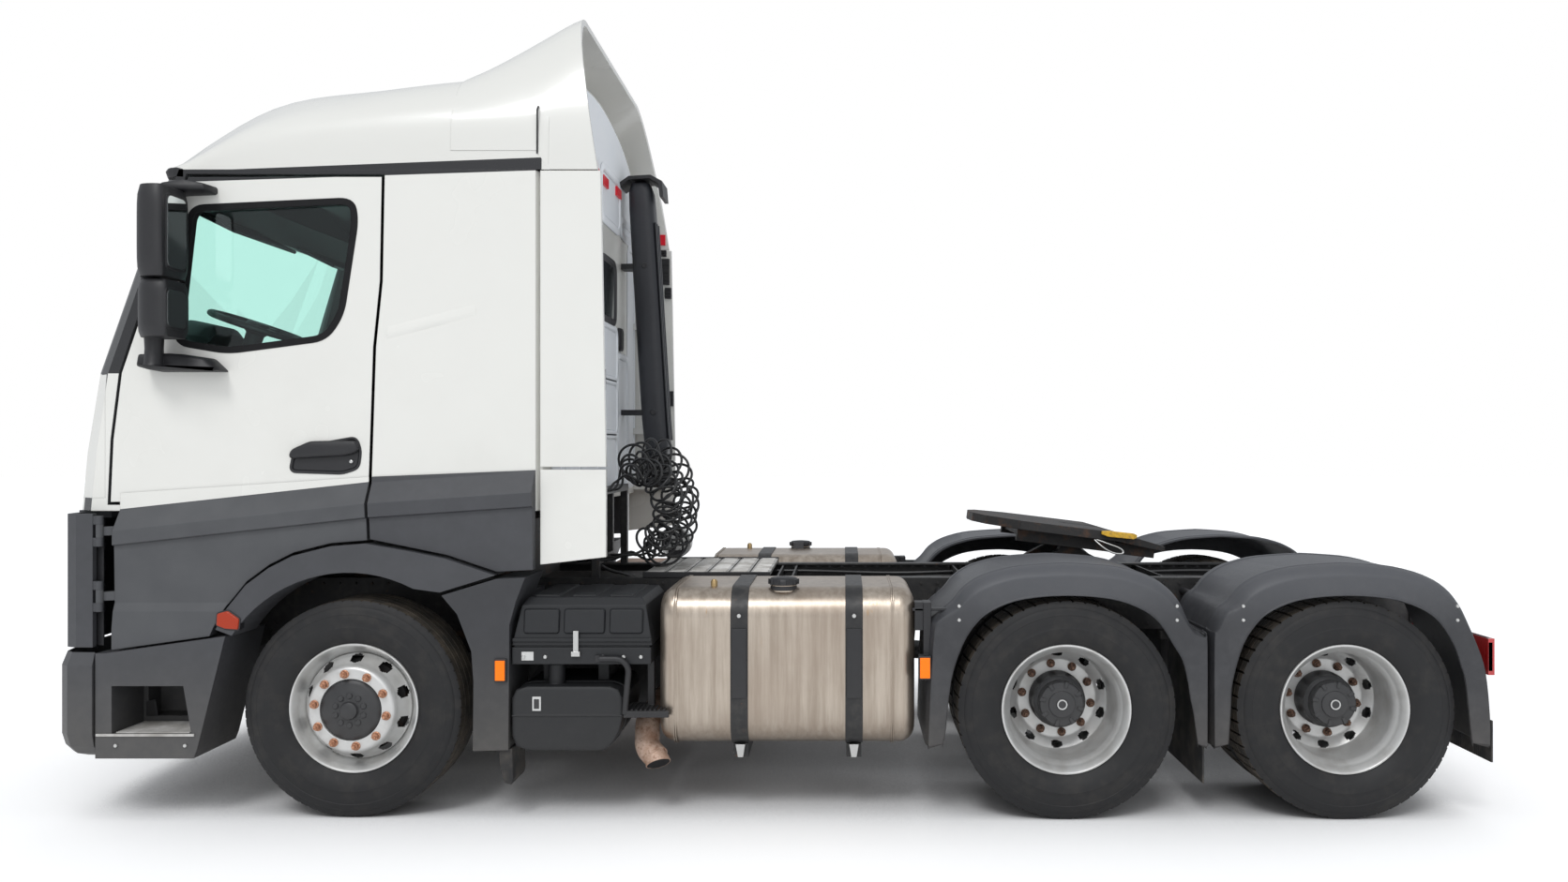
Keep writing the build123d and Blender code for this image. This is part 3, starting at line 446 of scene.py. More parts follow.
class Palette:
    """Every finish, made once when first asked for."""

    def __init__(self):
        self.made = {}

    def __call__(self, name):
        if name not in self.made:
            if name in PLASTICS:
                self.made[name] = self.plastic(*PLASTICS[name])
            elif name in MOTTLED:
                self.made[name] = self.mottled(*MOTTLED[name])
            else:
                self.made[name] = getattr(self, "make_" + name)()
        return self.made[name]

    @property
    def s(self):
        return bpy.context.scene.tractor

    # body ------------------------------------------------------------------------------
    def body_paint(self, name, grey_below=None, black_above=None, lined=False, gaps=None, painted_shade=1.0):
        """White paint; gaps is the x ahead of which the joints beside a door are dark; a factor under 1 darkens
        the whole white as painted shade.
        """
        p = Paint(name)
        x, y, z = p.xyz()
        dirt = p.noise(1.6, 3) * p.noise(5.0, 2)
        low = 1 - z.ramp(1400, 2300)
        # painted shade: the white times a factor under 1 is a darker copy of the same paint
        white = tuple(c * painted_shade for c in self.s.cab_white)
        colour = p.mix(dirt.ramp(0.0, 0.7) * (low * 0.14 + 0.05), white, (0.42, 0.40, 0.35))
        rough = p.noise(3.0, 2) * 0.05 + 0.24
        coat = 0.6
        if grey_below:
            plastic = grey_below(x, z)
            faded = p.mix(p.noise(5.0, 4) * 0.5, tuple(self.s.plastic_grey), (0.13, 0.135, 0.14))
            colour = p.mix(plastic, colour, faded)
            rough = rough * (1 - plastic) + plastic * 0.5
            coat = (1 - plastic) * 0.6
        if black_above:
            colour = p.mix(black_above(x, z), colour, (0.012, 0.012, 0.014))
        if gaps:
            side = abs(y)
            shut = (side > 1093) * (side < 1148.5) * (x > gaps)
            colour = p.mix(shut, colour, (0.006, 0.006, 0.007))
            coat = (1 - shut) * coat
        if lined:
            lining = self.inside(p)
            colour = p.mix(lining, colour, (0.090, 0.092, 0.095))
            rough = rough * (1 - lining) + lining * 0.7
        return p.finish(colour, rough, 0.0, soft_edge=6, Coat_Weight=coat, Coat_Roughness=0.08)

    def inside(self, p):
        """1 on faces that look towards the middle of the cab."""
        normal = p.node("ShaderNodeNewGeometry", out="True Normal")
        middle = at(200, 0, 2300)
        away = p.node("ShaderNodeVectorMath", operation="SUBTRACT", feeds=((0, p.where), (1, middle)))
        dot = p.node("ShaderNodeVectorMath", operation="DOT_PRODUCT", out="Value",
                     feeds=((0, away), (1, normal)))
        return dot < 0

    def make_white(self):
        return self.body_paint("cab_white")

    def make_shell_white(self):
        def trim(x, z):
            # black rail under the roof, and the pillar beside the windscreen
            pillar = (x > (2062 - z) * RAKE + 1093) * (z > 2060)
            return ((z > x * -0.0329 + 2978) * (x > -860)).most(pillar)
        return self.body_paint("shell_white", black_above=trim, lined=True, gaps=-800)

    def make_roof_white(self):
        rail = lambda x, z: (z < x * -0.0394 + 3033) * (x > -866)
        # roof paint: the same white made darker as painted shade
        return self.body_paint("roof_white", black_above=rail, lined=True, painted_shade=0.94)

    def make_deflector_white(self):
        # deflector paint: the same white made darker as painted shade
        return self.body_paint("deflector_white", painted_shade=0.94)

    def make_door_white(self):
        return self.body_paint("door_white", grey_below=lambda x, z: z < (x * -0.1097 + 1548),
                               black_above=lambda x, z: z > x * -0.0329 + 2978, lined=True, gaps=-2000)

    def plastic(self, name, colour, rough, dust, edge):
        p = Paint(name)
        x, y, z = p.xyz()
        cloud = p.noise(4.0, 5) * 0.6 + p.noise(23.0, 3) * 0.4
        low = 1 - z.ramp(250, 900)
        tone = p.mix(cloud.ramp(0.35, 0.75) * 0.6, colour, tuple(c * 1.35 for c in colour))
        tone = p.mix(low * cloud * dust, tone, (0.16, 0.145, 0.12))
        return p.finish(tone, p.noise(60.0, 2) * 0.12 + rough, 0.0, bump=(p.noise(1100.0, 2), 0.05),
                        soft_edge=edge)

    def mottled(self, name, noise, ramp, dark, light, rough, metal, bump, edge, more):
        p = Paint(name)
        share = p.noise(*noise)
        if ramp:
            share = share.ramp(*ramp)
        if bump:
            bump = (p.noise(*bump[:2]), bump[2])
        return p.finish(p.mix(share, dark, light), rough, metal, bump=bump, soft_edge=edge, **more)

    def make_grey(self):
        return self.plastic("grey_plastic", tuple(self.s.plastic_grey), 0.46, 0.5, 5)

    def make_fender_grey(self):
        """Lighter on top and darker down the legs: painted light and painted shade."""
        p = Paint("fender_plastic")
        x, y, z = p.xyz()
        cloud = p.noise(4.0, 5) * 0.6 + p.noise(23.0, 3) * 0.4
        # painted light and shade: the same plastic lighter on top, darker down the legs
        tone = p.mix(z.ramp(860, 1150), (0.031, 0.032, 0.036), (0.076, 0.079, 0.088))
        tone = p.mix(cloud.ramp(0.35, 0.75) * 0.3, tone, (0.10, 0.10, 0.105))
        tone = p.mix((1 - z.ramp(300, 700)) * cloud * 0.5, tone, (0.13, 0.115, 0.095))
        return p.finish(tone, p.noise(60.0, 2) * 0.12 + 0.46, 0.0, bump=(p.noise(1100.0, 2), 0.05),
                        soft_edge=6)

    def make_dark_pane(self):
        p = Paint("dark_pane")
        x, y, z = p.xyz()
        colour = p.mix(z.ramp(2450, 2800), (0.035, 0.045, 0.045), (0.010, 0.013, 0.014))
        return p.finish(colour, 0.08, 0.0, Coat_Weight=0.6)

    def make_frame_black(self):
        p = Paint("frame_black")
        dust = p.noise(7.0, 5) * p.noise(31.0, 3)
        rust = (p.noise(14.0, 6, 0.7) - 0.62).ramp(0.0, 0.08)
        colour = p.mix((dust - 0.15).ramp(0.0, 0.4) * 0.35, (0.013, 0.013, 0.014), (0.10, 0.092, 0.08))
        colour = p.mix(rust * 0.5, colour, (0.12, 0.05, 0.022))
        return p.finish(colour, p.noise(45.0, 3) * 0.25 + 0.35, 0.0, bump=(p.noise(300.0, 3), 0.15),
                        soft_edge=4)

    def make_cast_iron(self):
        p = Paint("cast_iron")
        rust = (p.noise(9.0, 6, 0.7) - 0.5).ramp(0.0, 0.15)
        colour = p.mix(rust * 0.55, (0.030, 0.029, 0.029), (0.13, 0.062, 0.032))
        return p.finish(colour, p.noise(60.0, 3) * 0.3 + 0.45, 0.3, bump=(p.noise(420.0, 4), 0.4), soft_edge=5)

    # metal -----------------------------------------------------------------------------
    def make_rim_silver(self):
        p = Paint("rim_silver")
        grime = (p.noise(9.0, 5) - 0.42).ramp(0.0, 0.3)
        colour = p.mix(grime * 0.28, (0.62, 0.62, 0.61), (0.24, 0.215, 0.18))
        return p.finish(colour, p.noise(70.0, 3) * 0.2 + 0.3, 0.55, bump=(p.noise(500.0, 2), 0.03), soft_edge=2)

    def make_steel_bright(self):
        p = Paint("steel_bright")
        return p.finish((0.55, 0.55, 0.54), p.noise(80.0, 3) * 0.25 + 0.2, 0.9, soft_edge=1.5)

    def make_tank_steel(self):
        p = Paint("tank_steel")
        x, y, z = p.xyz()
        streak = p.noise(26.0, 6, 0.65, stretch=(1.0, 1.0, 0.06))
        fine = p.noise(160.0, 3, 0.6, stretch=(1.0, 1.0, 0.04))
        warm = p.mix(streak.ramp(0.3, 0.75), (0.355, 0.295, 0.240), (0.55, 0.48, 0.405))
        colour = p.mix(p.noise(2.6, 4).ramp(0.4, 0.7) * 0.45, warm, (0.36, 0.29, 0.235))
        # painted reflection of the shaded ground: darker towards the bottom
        colour = p.mix((1 - z.ramp(340, 560)) * 0.5, colour, (0.20, 0.165, 0.135))
        rust = (p.noise(19.0, 5, 0.7, stretch=(1.0, 1.0, 0.25)) - 0.66).ramp(0.0, 0.05) * z.ramp(750, 1000)
        colour = p.mix(rust * 0.6, colour, (0.42, 0.27, 0.14))
        rough = streak * 0.16 + fine * 0.1 + 0.24
        return p.finish(colour, rough, 0.92, bump=(fine, 0.03), Anisotropic=0.35)

    def make_aluminium(self):
        p = Paint("aluminium_tread")
        x, y, z = p.xyz()
        colour = p.mix(p.noise(8.0, 5).ramp(0.35, 0.7), (0.42, 0.405, 0.38), (0.63, 0.62, 0.60))
        return p.finish(colour, p.noise(70.0, 3) * 0.25 + 0.32, 0.75, bump=(y.wave(13.0), 1.2), soft_edge=2)

    def make_aluminium_plain(self):
        p = Paint("aluminium")
        colour = p.mix(p.noise(8.0, 5).ramp(0.35, 0.7), (0.36, 0.345, 0.32), (0.60, 0.59, 0.57))
        return p.finish(colour, p.noise(70.0, 3) * 0.25 + 0.34, 0.7, bump=(p.noise(300.0, 3), 0.2), soft_edge=2)

    def make_exhaust_rust(self):
        p = Paint("exhaust_rust")
        colour = p.mix(p.noise(13.0, 6, 0.7).ramp(0.3, 0.7), (0.35, 0.20, 0.13), (0.62, 0.47, 0.38))
        colour = p.mix((p.noise(60.0, 4) - 0.55).ramp(0.0, 0.1) * 0.5, colour, (0.20, 0.09, 0.05))
        return p.finish(colour, 0.62, 0.35, bump=(p.noise(200.0, 4), 0.3), soft_edge=2)

    # rubber, cloth, glass, lamps ---------------------------------------------------------
    def make_tyre(self):
        p = Paint("tyre_rubber")
        cloud = p.noise(6.0, 5)
        dust = (p.noise(17.0, 4) * cloud - 0.2).ramp(0.0, 0.25)
        colour = p.mix(dust * 0.4, (0.0165, 0.0165, 0.0175), (0.045, 0.041, 0.037))
        return p.finish(colour, cloud * 0.14 + 0.50, 0.0, bump=(p.noise(900.0, 3), 0.08),
                        Specular_IOR_Level=0.3)

    def make_hose(self):
        p = Paint("hose_black")
        colour = p.mix(p.noise(20.0, 3) * 0.4, (0.010, 0.010, 0.011), (0.05, 0.05, 0.05))
        return p.finish(colour, 0.32, 0.0, bump=(p.noise(400.0, 2), 0.05))

    def make_flap(self):
        p = Paint("flap_rubber")
        x, y, z = p.xyz()
        colour = p.mix(p.noise(9.0, 5).ramp(0.35, 0.75), (0.016, 0.016, 0.017), (0.075, 0.066, 0.055))
        return p.finish(colour, 0.7, 0.0, bump=(y.wave(16.0) + p.noise(200.0, 3) * 0.3, 2.0))

    def make_cloth(self):
        p = Paint("seat_cloth")
        x, y, z = p.xyz()
        weave = (x + y).wave(3.0) * (z + y).wave(3.0)
        colour = p.mix(weave * 0.5 + p.noise(14.0, 3) * 0.3, (0.016, 0.018, 0.021), (0.045, 0.047, 0.052))
        return p.finish(colour, 0.85, 0.0, bump=(weave, 0.15))

    def make_window(self):
        """Thin pane: clear film with a sharp reflection on its front."""
        p = Paint("window_teal")
        p.tree.nodes.remove(p.bsdf)
        clear = p.node("ShaderNodeBsdfTransparent", Color=tuple(self.s.glass_tint))
        shine = p.node("ShaderNodeBsdfGlossy", Color=(0.9, 0.95, 0.95), Roughness=0.02)
        facing = p.node("ShaderNodeFresnel", IOR=1.5).least(0.10)
        behind = p.node("ShaderNodeNewGeometry", out="Backfacing")
        share = (facing + 0.01) * (1 - behind)
        mixed = p.node("ShaderNodeMixShader", Fac=share, feeds=((1, clear), (2, shine)))
        p.link(mixed, p.tree.nodes["Material Output"].inputs["Surface"])
        return p.mat

    def make_mirror_glass(self):
        return Paint("mirror_glass").finish((0.75, 0.80, 0.80), 0.03, 1.0)

    def make_lamp_glass(self):
        """Clear ahead, red behind."""
        p = Paint("lamp_glass")
        x, y, z = p.xyz()
        colour = p.mix(x > 0, (0.50, 0.012, 0.012), (0.55, 0.58, 0.60))
        return p.finish(colour, 0.1, 0.0, bump=(y.wave(20.0), 0.8), Coat_Weight=1.0)

    # The glow is painted light on unlit lenses and reflectors.
    def lens(self, name, colour, glow):
        p = Paint(name)
        x, y, z = p.xyz()
        return p.finish(colour, 0.3, 0.0, bump=(x.wave(9.0) + z.wave(9.0), 0.4), Specular_IOR_Level=0.3,
                        Emission_Color=colour, Emission_Strength=glow)

    def make_red_lens(self):
        return self.lens("red_lens", (0.50, 0.008, 0.02), 0.25)

    def make_orange_lens(self):
        return self.lens("orange_lens", (0.85, 0.17, 0.003), 0.35)

    def make_amber_red(self):
        return self.lens("marker_lens", (0.34, 0.035, 0.012), 0.15)


palette = Palette()


# ---- operators --------------------------------------------------------------------------
class TRACTOR_PG_settings(bpy.types.PropertyGroup):
    """Sizes, colours and light that a user would change."""

    lens: FloatProperty(name="Lens", description="Focal length of the camera", default=27.38, unit="CAMERA")
    shift_x: FloatProperty(name="Shift X", description="Camera shift to the side, in frame widths",
                           default=-0.0383, subtype="FACTOR", min=-1, max=1)
    shift_y: FloatProperty(name="Shift Y", description="Camera shift upwards, in frame widths",
                           default=0.0039, subtype="FACTOR", min=-1, max=1)
    sky: FloatProperty(name="Sky", description="Strength of the sky's light", default=0.66,
                       subtype="FACTOR", min=0, max=4)
    sun: FloatProperty(name="Sun", description="Strength of the key sun, in watts per square metre",
                       default=1.15, min=0)
    floor_lift: FloatProperty(name="Floor lift", description="Share of light that the white floor adds",
                              default=0.25, subtype="FACTOR", min=0, max=1)
    cab_white: FloatVectorProperty(name="Cab white", description="Paint of the cab", subtype="COLOR",
                                   default=(0.80, 0.795, 0.755))
    plastic_grey: FloatVectorProperty(name="Plastic grey", description="Bumper, grille and lower panels",
                                      subtype="COLOR", default=(0.0475, 0.049, 0.0545))
    glass_tint: FloatVectorProperty(name="Glass tint", description="Tint of the cab's panes", subtype="COLOR",
                                    default=(0.84, 0.970, 0.940))
    wheel_nuts: IntProperty(name="Wheel nuts", description="Nuts on each wheel", default=10, min=3)
    coil_turns: IntProperty(name="Coil turns", description="Turns of the longest hanging hose", default=17,
                            min=5)
    coil_radius: FloatProperty(name="Coil radius", description="Mean radius of the hoses' turns",
                               default=0.076, unit="LENGTH")
    hose_radius: FloatProperty(name="Hose radius", description="Half the hoses' thickness", default=0.007,
                               unit="LENGTH")


class Maker:
    """What every piece operator does."""

    def execute(self, context):
        self.make(context.scene.tractor)
        return {"FINISHED"}


class TRACTOR_OT_stage(Maker, bpy.types.Operator):
    """Camera, lights and white floor with a painted shadow under the truck"""

    bl_idname = "tractor.stage"
    bl_label = "Stage"

    def make(self, s):
        scene = bpy.context.scene
        cam = bpy.data.cameras.new("view")
        cam.sensor_width = 36
        cam.lens = s.lens
        cam.shift_x, cam.shift_y = s.shift_x, s.shift_y
        cam.clip_end = 200
        rig = linked("view", cam)
        rig.location = at(-2273.8, 6700, 1717)
        rig.rotation_euler = (math.radians(90), 0, math.radians(180))
        scene.camera = rig

        lights = (("sun_key", s.sun, 0.35, (-38, 12, 0)), ("sun_fill", s.sun * 0.35, 0.8, (-62, -25, 0)))
        for name, energy, spread, turn in lights:
            sun = bpy.data.lights.new(name, "SUN")
            sun.energy, sun.angle = energy, spread
            linked(name, sun).rotation_euler = [math.radians(a) for a in turn]

        world = bpy.data.worlds.new("sky")
        scene.world = world
        world.use_nodes = True
        sky = Nodes(world.node_tree)
        light = sky.node("ShaderNodeBackground", Color=(0.93, 0.96, 1.0), Strength=s.sky)
        plain = sky.node("ShaderNodeBackground", Color=(1, 1, 1), Strength=1.0)
        seen = sky.node("ShaderNodeLightPath", out="Is Camera Ray")
        mixed = sky.node("ShaderNodeMixShader", Fac=seen, feeds=((1, light), (2, plain)))
        sky.link(mixed, world.node_tree.nodes["World Output"].inputs["Surface"])

        mesh = bpy.data.meshes.new("floor")
        mesh.from_pydata([(-60, -60, 0), (60, -60, 0), (60, 60, 0), (-60, 60, 0)], [], [(0, 1, 2, 3)])
        p = Paint("floor_white")
        camera = p.node("ShaderNodeLightPath", out="Is Camera Ray")
        seen = camera.most(p.node("ShaderNodeLightPath", out="Is Glossy Ray"))
        # painted shadow: where the truck hides the sky, the floor is painted darker and its lift fades
        open_sky = p.node("ShaderNodeAmbientOcclusion", out="AO", samples=6, Distance=1.5).ramp(0.05, 0.72)
        tone = p.mix(open_sky, (0.46, 0.46, 0.47), (0.90, 0.90, 0.90))
        mesh.materials.append(p.finish(tone, 0.9, Specular_IOR_Level=0.0, Emission_Color=open_sky ** 2 * seen,
                                       Emission_Strength=s.floor_lift))
        linked("floor", mesh)
        scene.view_settings.view_transform = "Standard"


class TRACTOR_OT_paint(Maker, bpy.types.Operator):
    """Finishes of the CAD pieces that stay"""

    bl_idname = "tractor.paint"
    bl_label = "Paint"

    FINISHES = (
        ("white", "front_panel roof_spoiler side_fairings"),
        ("shell_white", "cab_shell"),
        ("roof_white", "cab_roof"),
        ("door_white", "door_left door_right"),
        ("grey", "grille cab_lower_panels front_bumper step_boxes"),
        ("arch_grey", "front_mudguards"),
        ("fender_grey", "rear_fenders"),
        ("box_black", "battery_box urea_tank intake_stack"),
        ("black", "mirror_left mirror_right side_step steering_wheel"),
        ("frame_black", "frame_rails crossmembers suspension axles tank_straps hose_rack cab_arms driveline "
                        "knuckle_left knuckle_right"),
        ("cast_iron", "fifth_wheel_plate fifth_wheel_base engine_block"),
        ("window", "cab_glass door_glass_left door_glass_right"),
        ("tank_steel", "fuel_tanks"),
        ("aluminium", "catwalk"),
        ("exhaust_rust", "exhaust"),
        ("flap", "mudflaps"),
        ("lamp_glass", "lamps"),
        ("dash_grey", "dashboard"),
    )

    def make(self, s):
        for paint, names in self.FINISHES:
            for name in names.split():
                mesh = NODES[name].data
                mesh.materials.clear()
                mesh.materials.append(palette(paint))


# Half section of a tyre: radius, distance from its middle.
SIDEWALL = ((497, 132), (486, 138), (474, 141), (470, 145), (458, 149), (446, 152), (440, 154), (437, 152.6),
            (420, 155.6), (400, 156.4), (384, 155.5), (380, 157), (362, 154), (345, 148), (330, 141), (318, 133),
            (309, 127), (303, 122), (300, 114), (288, 112))
# Rows of tread blocks, from and to across the tyre.
DRIVE_BLOCKS = ((-131, -88), (-80, -45), (-37, -4), (4, 37), (45, 80), (88, 131))
STEER_BLOCKS = ((-129, -84), (-76, -30), (-22, 22), (30, 76), (84, 129))


class TRACTOR_OT_tyres(Maker, bpy.types.Operator):
    """Tyres with grooved tread"""

    bl_idname = "tractor.tyres"
    bl_label = "Tyres"

    def tread(self, drive):
        """(radius, place across, cut by the cross grooves) from one shoulder to the other."""
        line = []
        for a, b in DRIVE_BLOCKS if drive else STEER_BLOCKS:
            top_a, top_b = (HUB - 3.5 * (y / 130) ** 2 for y in (a, b))
            line += [(top_a - 14, a - 1.5, 0), (top_a, a, 1), (top_b, b, 1), (top_b - 14, b + 1.5, 0)]
        return line[1:-1]

    def tyre(self, shape, x, y, drive):
        line = self.tread(drive)
        profile = [(r, -d, 0) for r, d in reversed(SIDEWALL)] + line + [(r, d, 0) for r, d in SIDEWALL]
        pitches, depth = (54, 12) if drive else (72, 3)
        rings = []
        for k in range(pitches):
            for share, cut in ((0.0, 0), (0.80, 0), (0.83, 1), (0.97, 1)):
                a = 2 * math.pi * (k + share) / pitches
                ring = []
                for r, d, on in profile:
                    skew = a + (0.012 * math.copysign(1, d) * (abs(d) / 130) if drive and on else 0)
                    if cut and on and (drive or abs(d) > 100):
                        r -= depth
                    ring.append((x + r * math.cos(skew), y + d, HUB + r * math.sin(skew)))
                rings.append(ring)
        first, across, shoulder = len(shape.faces), len(profile) - 1, len(SIDEWALL)
        shape.rings(rings, closed=False, caps=False, round_=True)
        for f in range(first, len(shape.faces)):
            strip = (f - first) % across
            shape.slots[f] = int(shoulder <= strip < shoulder + len(line) - 1)

    def make(self, s):
        paints = "tyre tread"
        for side, sign in SIDES:
            shape = Shape()
            self.tyre(shape, 0, sign * FRONT_WHEEL, False)
            shape.place(f"tyre_front_{side}", f"wheel_front_{side}", paints, sharp=28,
                        replaces=[f"front_{side}_tyre"])
            for n, x in enumerate(REAR, 1):
                shape = Shape()
                for y in TWINS:
                    self.tyre(shape, x, sign * y, True)
                shape.place(f"tyres_rear{n}_{side}", f"wheel_rear{n}_{side}", paints, sharp=28,
                            replaces=[f"rear{n}_{side}_tyres"])


# The outer and the inner edge of every rim: radius, distance from the rim's middle.
RIM_OUTER = [(300, 114), (301, 122), (299, 127), (293, 128), (288, 124), (283, 112), (277, 104), (273, 92)]
RIM_INNER = [(284, -112), (300, -114), (300, -127), (288, -126)]
FRONT_RIM = RIM_OUTER + [(268, 80), (256, 60), (250, 52), (247, 20), (247, -60), (284, -86)] + RIM_INNER
REAR_RIM = RIM_OUTER + [(266, 78), (254, 62), (250, 40), (249, -40), (262, -55), (284, -70)] + RIM_INNER
FRONT_HUB = ((141, 118), (141, 152), (138, 158), (120, 166), (92, 170), (88, 172), (44, 172), (40, 176),
             (38, 186), (34, 189), (0, 190))
REAR_HUB = ((132, 4), (132, 60), (126, 70), (124, 118), (110, 128), (106, 130), (106, 168), (100, 176),
            (66, 178), (62, 180), (61, 186), (28, 188), (26, 192), (0, 192))
NUT_CIRCLE, NUT = 167.5, 15.5  # radius of the circle of nuts, and of a nut
HAND_HOLES, HOLE_START = 10, 0.32


class TRACTOR_OT_rims(Maker, bpy.types.Operator):
    """Rims, hand holes, nuts and hubs"""

    bl_idname = "tractor.rims"
    bl_label = "Rims"

    def nut(self, shape, x, y, z, sign, height, turn):
        """Nut with a washer and its bolt's end, standing out along Y."""
        def ring(r, d, n, a0=0.0):
            angles = [a0 + 2 * math.pi * k / n for k in range(n)]
            return [(x + r * math.cos(a), y + sign * d, z + r * math.sin(a)) for a in angles]
        for n, a0, rows in ((18, 0.0, ((1.32, 0), (1.32, 0.14), (1.05, 0.2))),
                            (6, turn, ((1, 0.15), (1, 0.68))),
                            (14, 0.0, ((0.8, 0.6), (0.66, 0.78), (0.5, 0.8), (0.5, 1)))):
            shape.rings([ring(NUT * r, height * d, n, a0) for r, d in rows], 1, soft=False)

    def nuts(self, shape, x, y, sign, near, far, count):
        for a in turns(count, 0.25):
            u, v = NUT_CIRCLE * math.cos(a), NUT_CIRCLE * math.sin(a)
            self.nut(shape, x + u, y + sign * near, HUB + v, sign, far - near, a)

    def dish(self, shape, x, y, sign, rows, hole_radius, hole):
        """Turned disc with oval hand holes; rows are (radius, place across) outside to inside."""
        n, segments, step = len(rows), 160, 2 * math.pi / HAND_HOLES
        verts = [(x + r * math.cos(a), y + sign * d, HUB + r * math.sin(a)) for a in turns(segments)
                 for r, d in rows]
        faces = []
        for k, a in enumerate(turns(segments, 0.5)):
            near = round((a - HOLE_START) / step) * step + HOLE_START
            for i in range(n - 1):
                middle = (rows[i][0] + rows[i + 1][0]) / 2
                u, v = (a - near) * middle / hole[0], (middle - hole_radius) / hole[1]
                if u * u + v * v >= 1:
                    this, after = k * n + i, (k + 1) % segments * n + i
                    faces.append((this, after, after + 1, this + 1))
        shape.add(verts, faces, 0, True)

    def front(self, s, side, sign):
        # the disc bulges past the rim's edge
        shape, y = Shape(), sign * FRONT_WHEEL
        centre = (0, y, HUB)
        out = lambda rows: [(r, sign * d) for r, d in rows]
        shape.lathe(out(FRONT_RIM), centre, count=96)
        rows = [(250, 40), (246, 62)]
        rows += [(246 - 38 * k / 14, 62 + 62 * (k / 14) ** 1.3) for k in range(1, 15)]
        rows += [(206, 136), (203, 146), (198, 154), (190, 160), (182, 162), (150, 162), (143, 160), (141, 150),
                 (141, 100)]
        self.dish(shape, 0, y, sign, rows, 228, (29, 17))
        shape.lathe(out(FRONT_HUB), centre, count=64, slot=2)
        for a in turns(10, 0.5):
            bolt = (68 * math.cos(a), y, HUB + 68 * math.sin(a))
            shape.lathe(out([(14, 168), (14, 176), (11, 179), (0, 179)]), bolt, count=12, slot=2)
        self.nuts(shape, 0, y, sign, 161, 195, s.wheel_nuts)
        shape.lathe(out([(60, -60), (150, -50), (215, -20), (222, 20), (215, 40), (60, 60)]), centre, count=40,
                    slot=3)
        shape.place(f"rim_front_{side}", f"wheel_front_{side}",
                    "rim_silver nut_rust hub_black cast_iron", sharp=40,
                    replaces=[f"front_{side}_rim"])

    def rear(self, s, side, sign, n, x):
        shape, y, c = Shape(), sign * TWIN_MIDDLE, 172.5  # c is from the pair's middle to a rim's
        centre = (x, y, HUB)
        out = lambda rows: [(r, sign * d) for r, d in rows]
        rows = [(250, c - 40), (249, c - 75), (246, c - 96), (240, c - 112)]
        rows += [(240 - 44 * k / 12, c - 112 - (c - 112 - 30) * (k / 12)) for k in range(1, 13)]
        rows += [(190, 26), (182, 24), (120, 24), (118, 20), (118, 2)]
        for m in (1, -1):
            shape.lathe([(r, sign * m * (c + d)) for r, d in REAR_RIM], centre, count=96)
            self.dish(shape, x, y, sign * m, rows, 220, (27, 17))
        # hub, stepped out to the cap
        shape.lathe(out(REAR_HUB), centre, count=64, slot=2)
        shape.lathe(out([(24, 188), (24, 194), (18, 194), (18, 188)]), centre, count=28, slot=4)
        for a in turns(8, 0.3):
            u, v = math.cos(a), math.sin(a)
            ribs = [[(x + r * u - t * v, y + sign * d, HUB + r * v + t * u) for r, t in corners]
                    for d, corners in ((174, ((78, -9), (108, -12), (108, 12), (78, 9))),
                                       (182, ((78, -7), (105, -9), (105, 9), (78, 7))))]
            shape.rings(ribs, 2, soft=False)
        self.nuts(shape, x, y, sign, 25, 66, s.wheel_nuts)
        shape.lathe(out([(60, -150), (205, -140), (212, -40), (205, -30), (60, -20)]), centre, count=40, slot=3)
        shape.place(f"rims_rear{n}_{side}", f"wheel_rear{n}_{side}",
                    "rim_silver nut_dark hub_black cast_iron steel_bright", sharp=40,
                    replaces=[f"rear{n}_{side}_rims"])

    def make(self, s):
        for side, sign in SIDES:
            self.front(s, side, sign)
            for n, x in enumerate(REAR, 1):
                self.rear(s, side, sign, n, x)


# The hanging hoses: node, distance left of the middle.
HOSES = (("hose_supply", 90), ("hose_control", 240), ("hose_electric", 390))
COIL_LINE = ((-1075, 1600), (-1130, 1660), (-1290, 1660), (-1400, 1430), (-1330, 1190), (-1180, 1130))


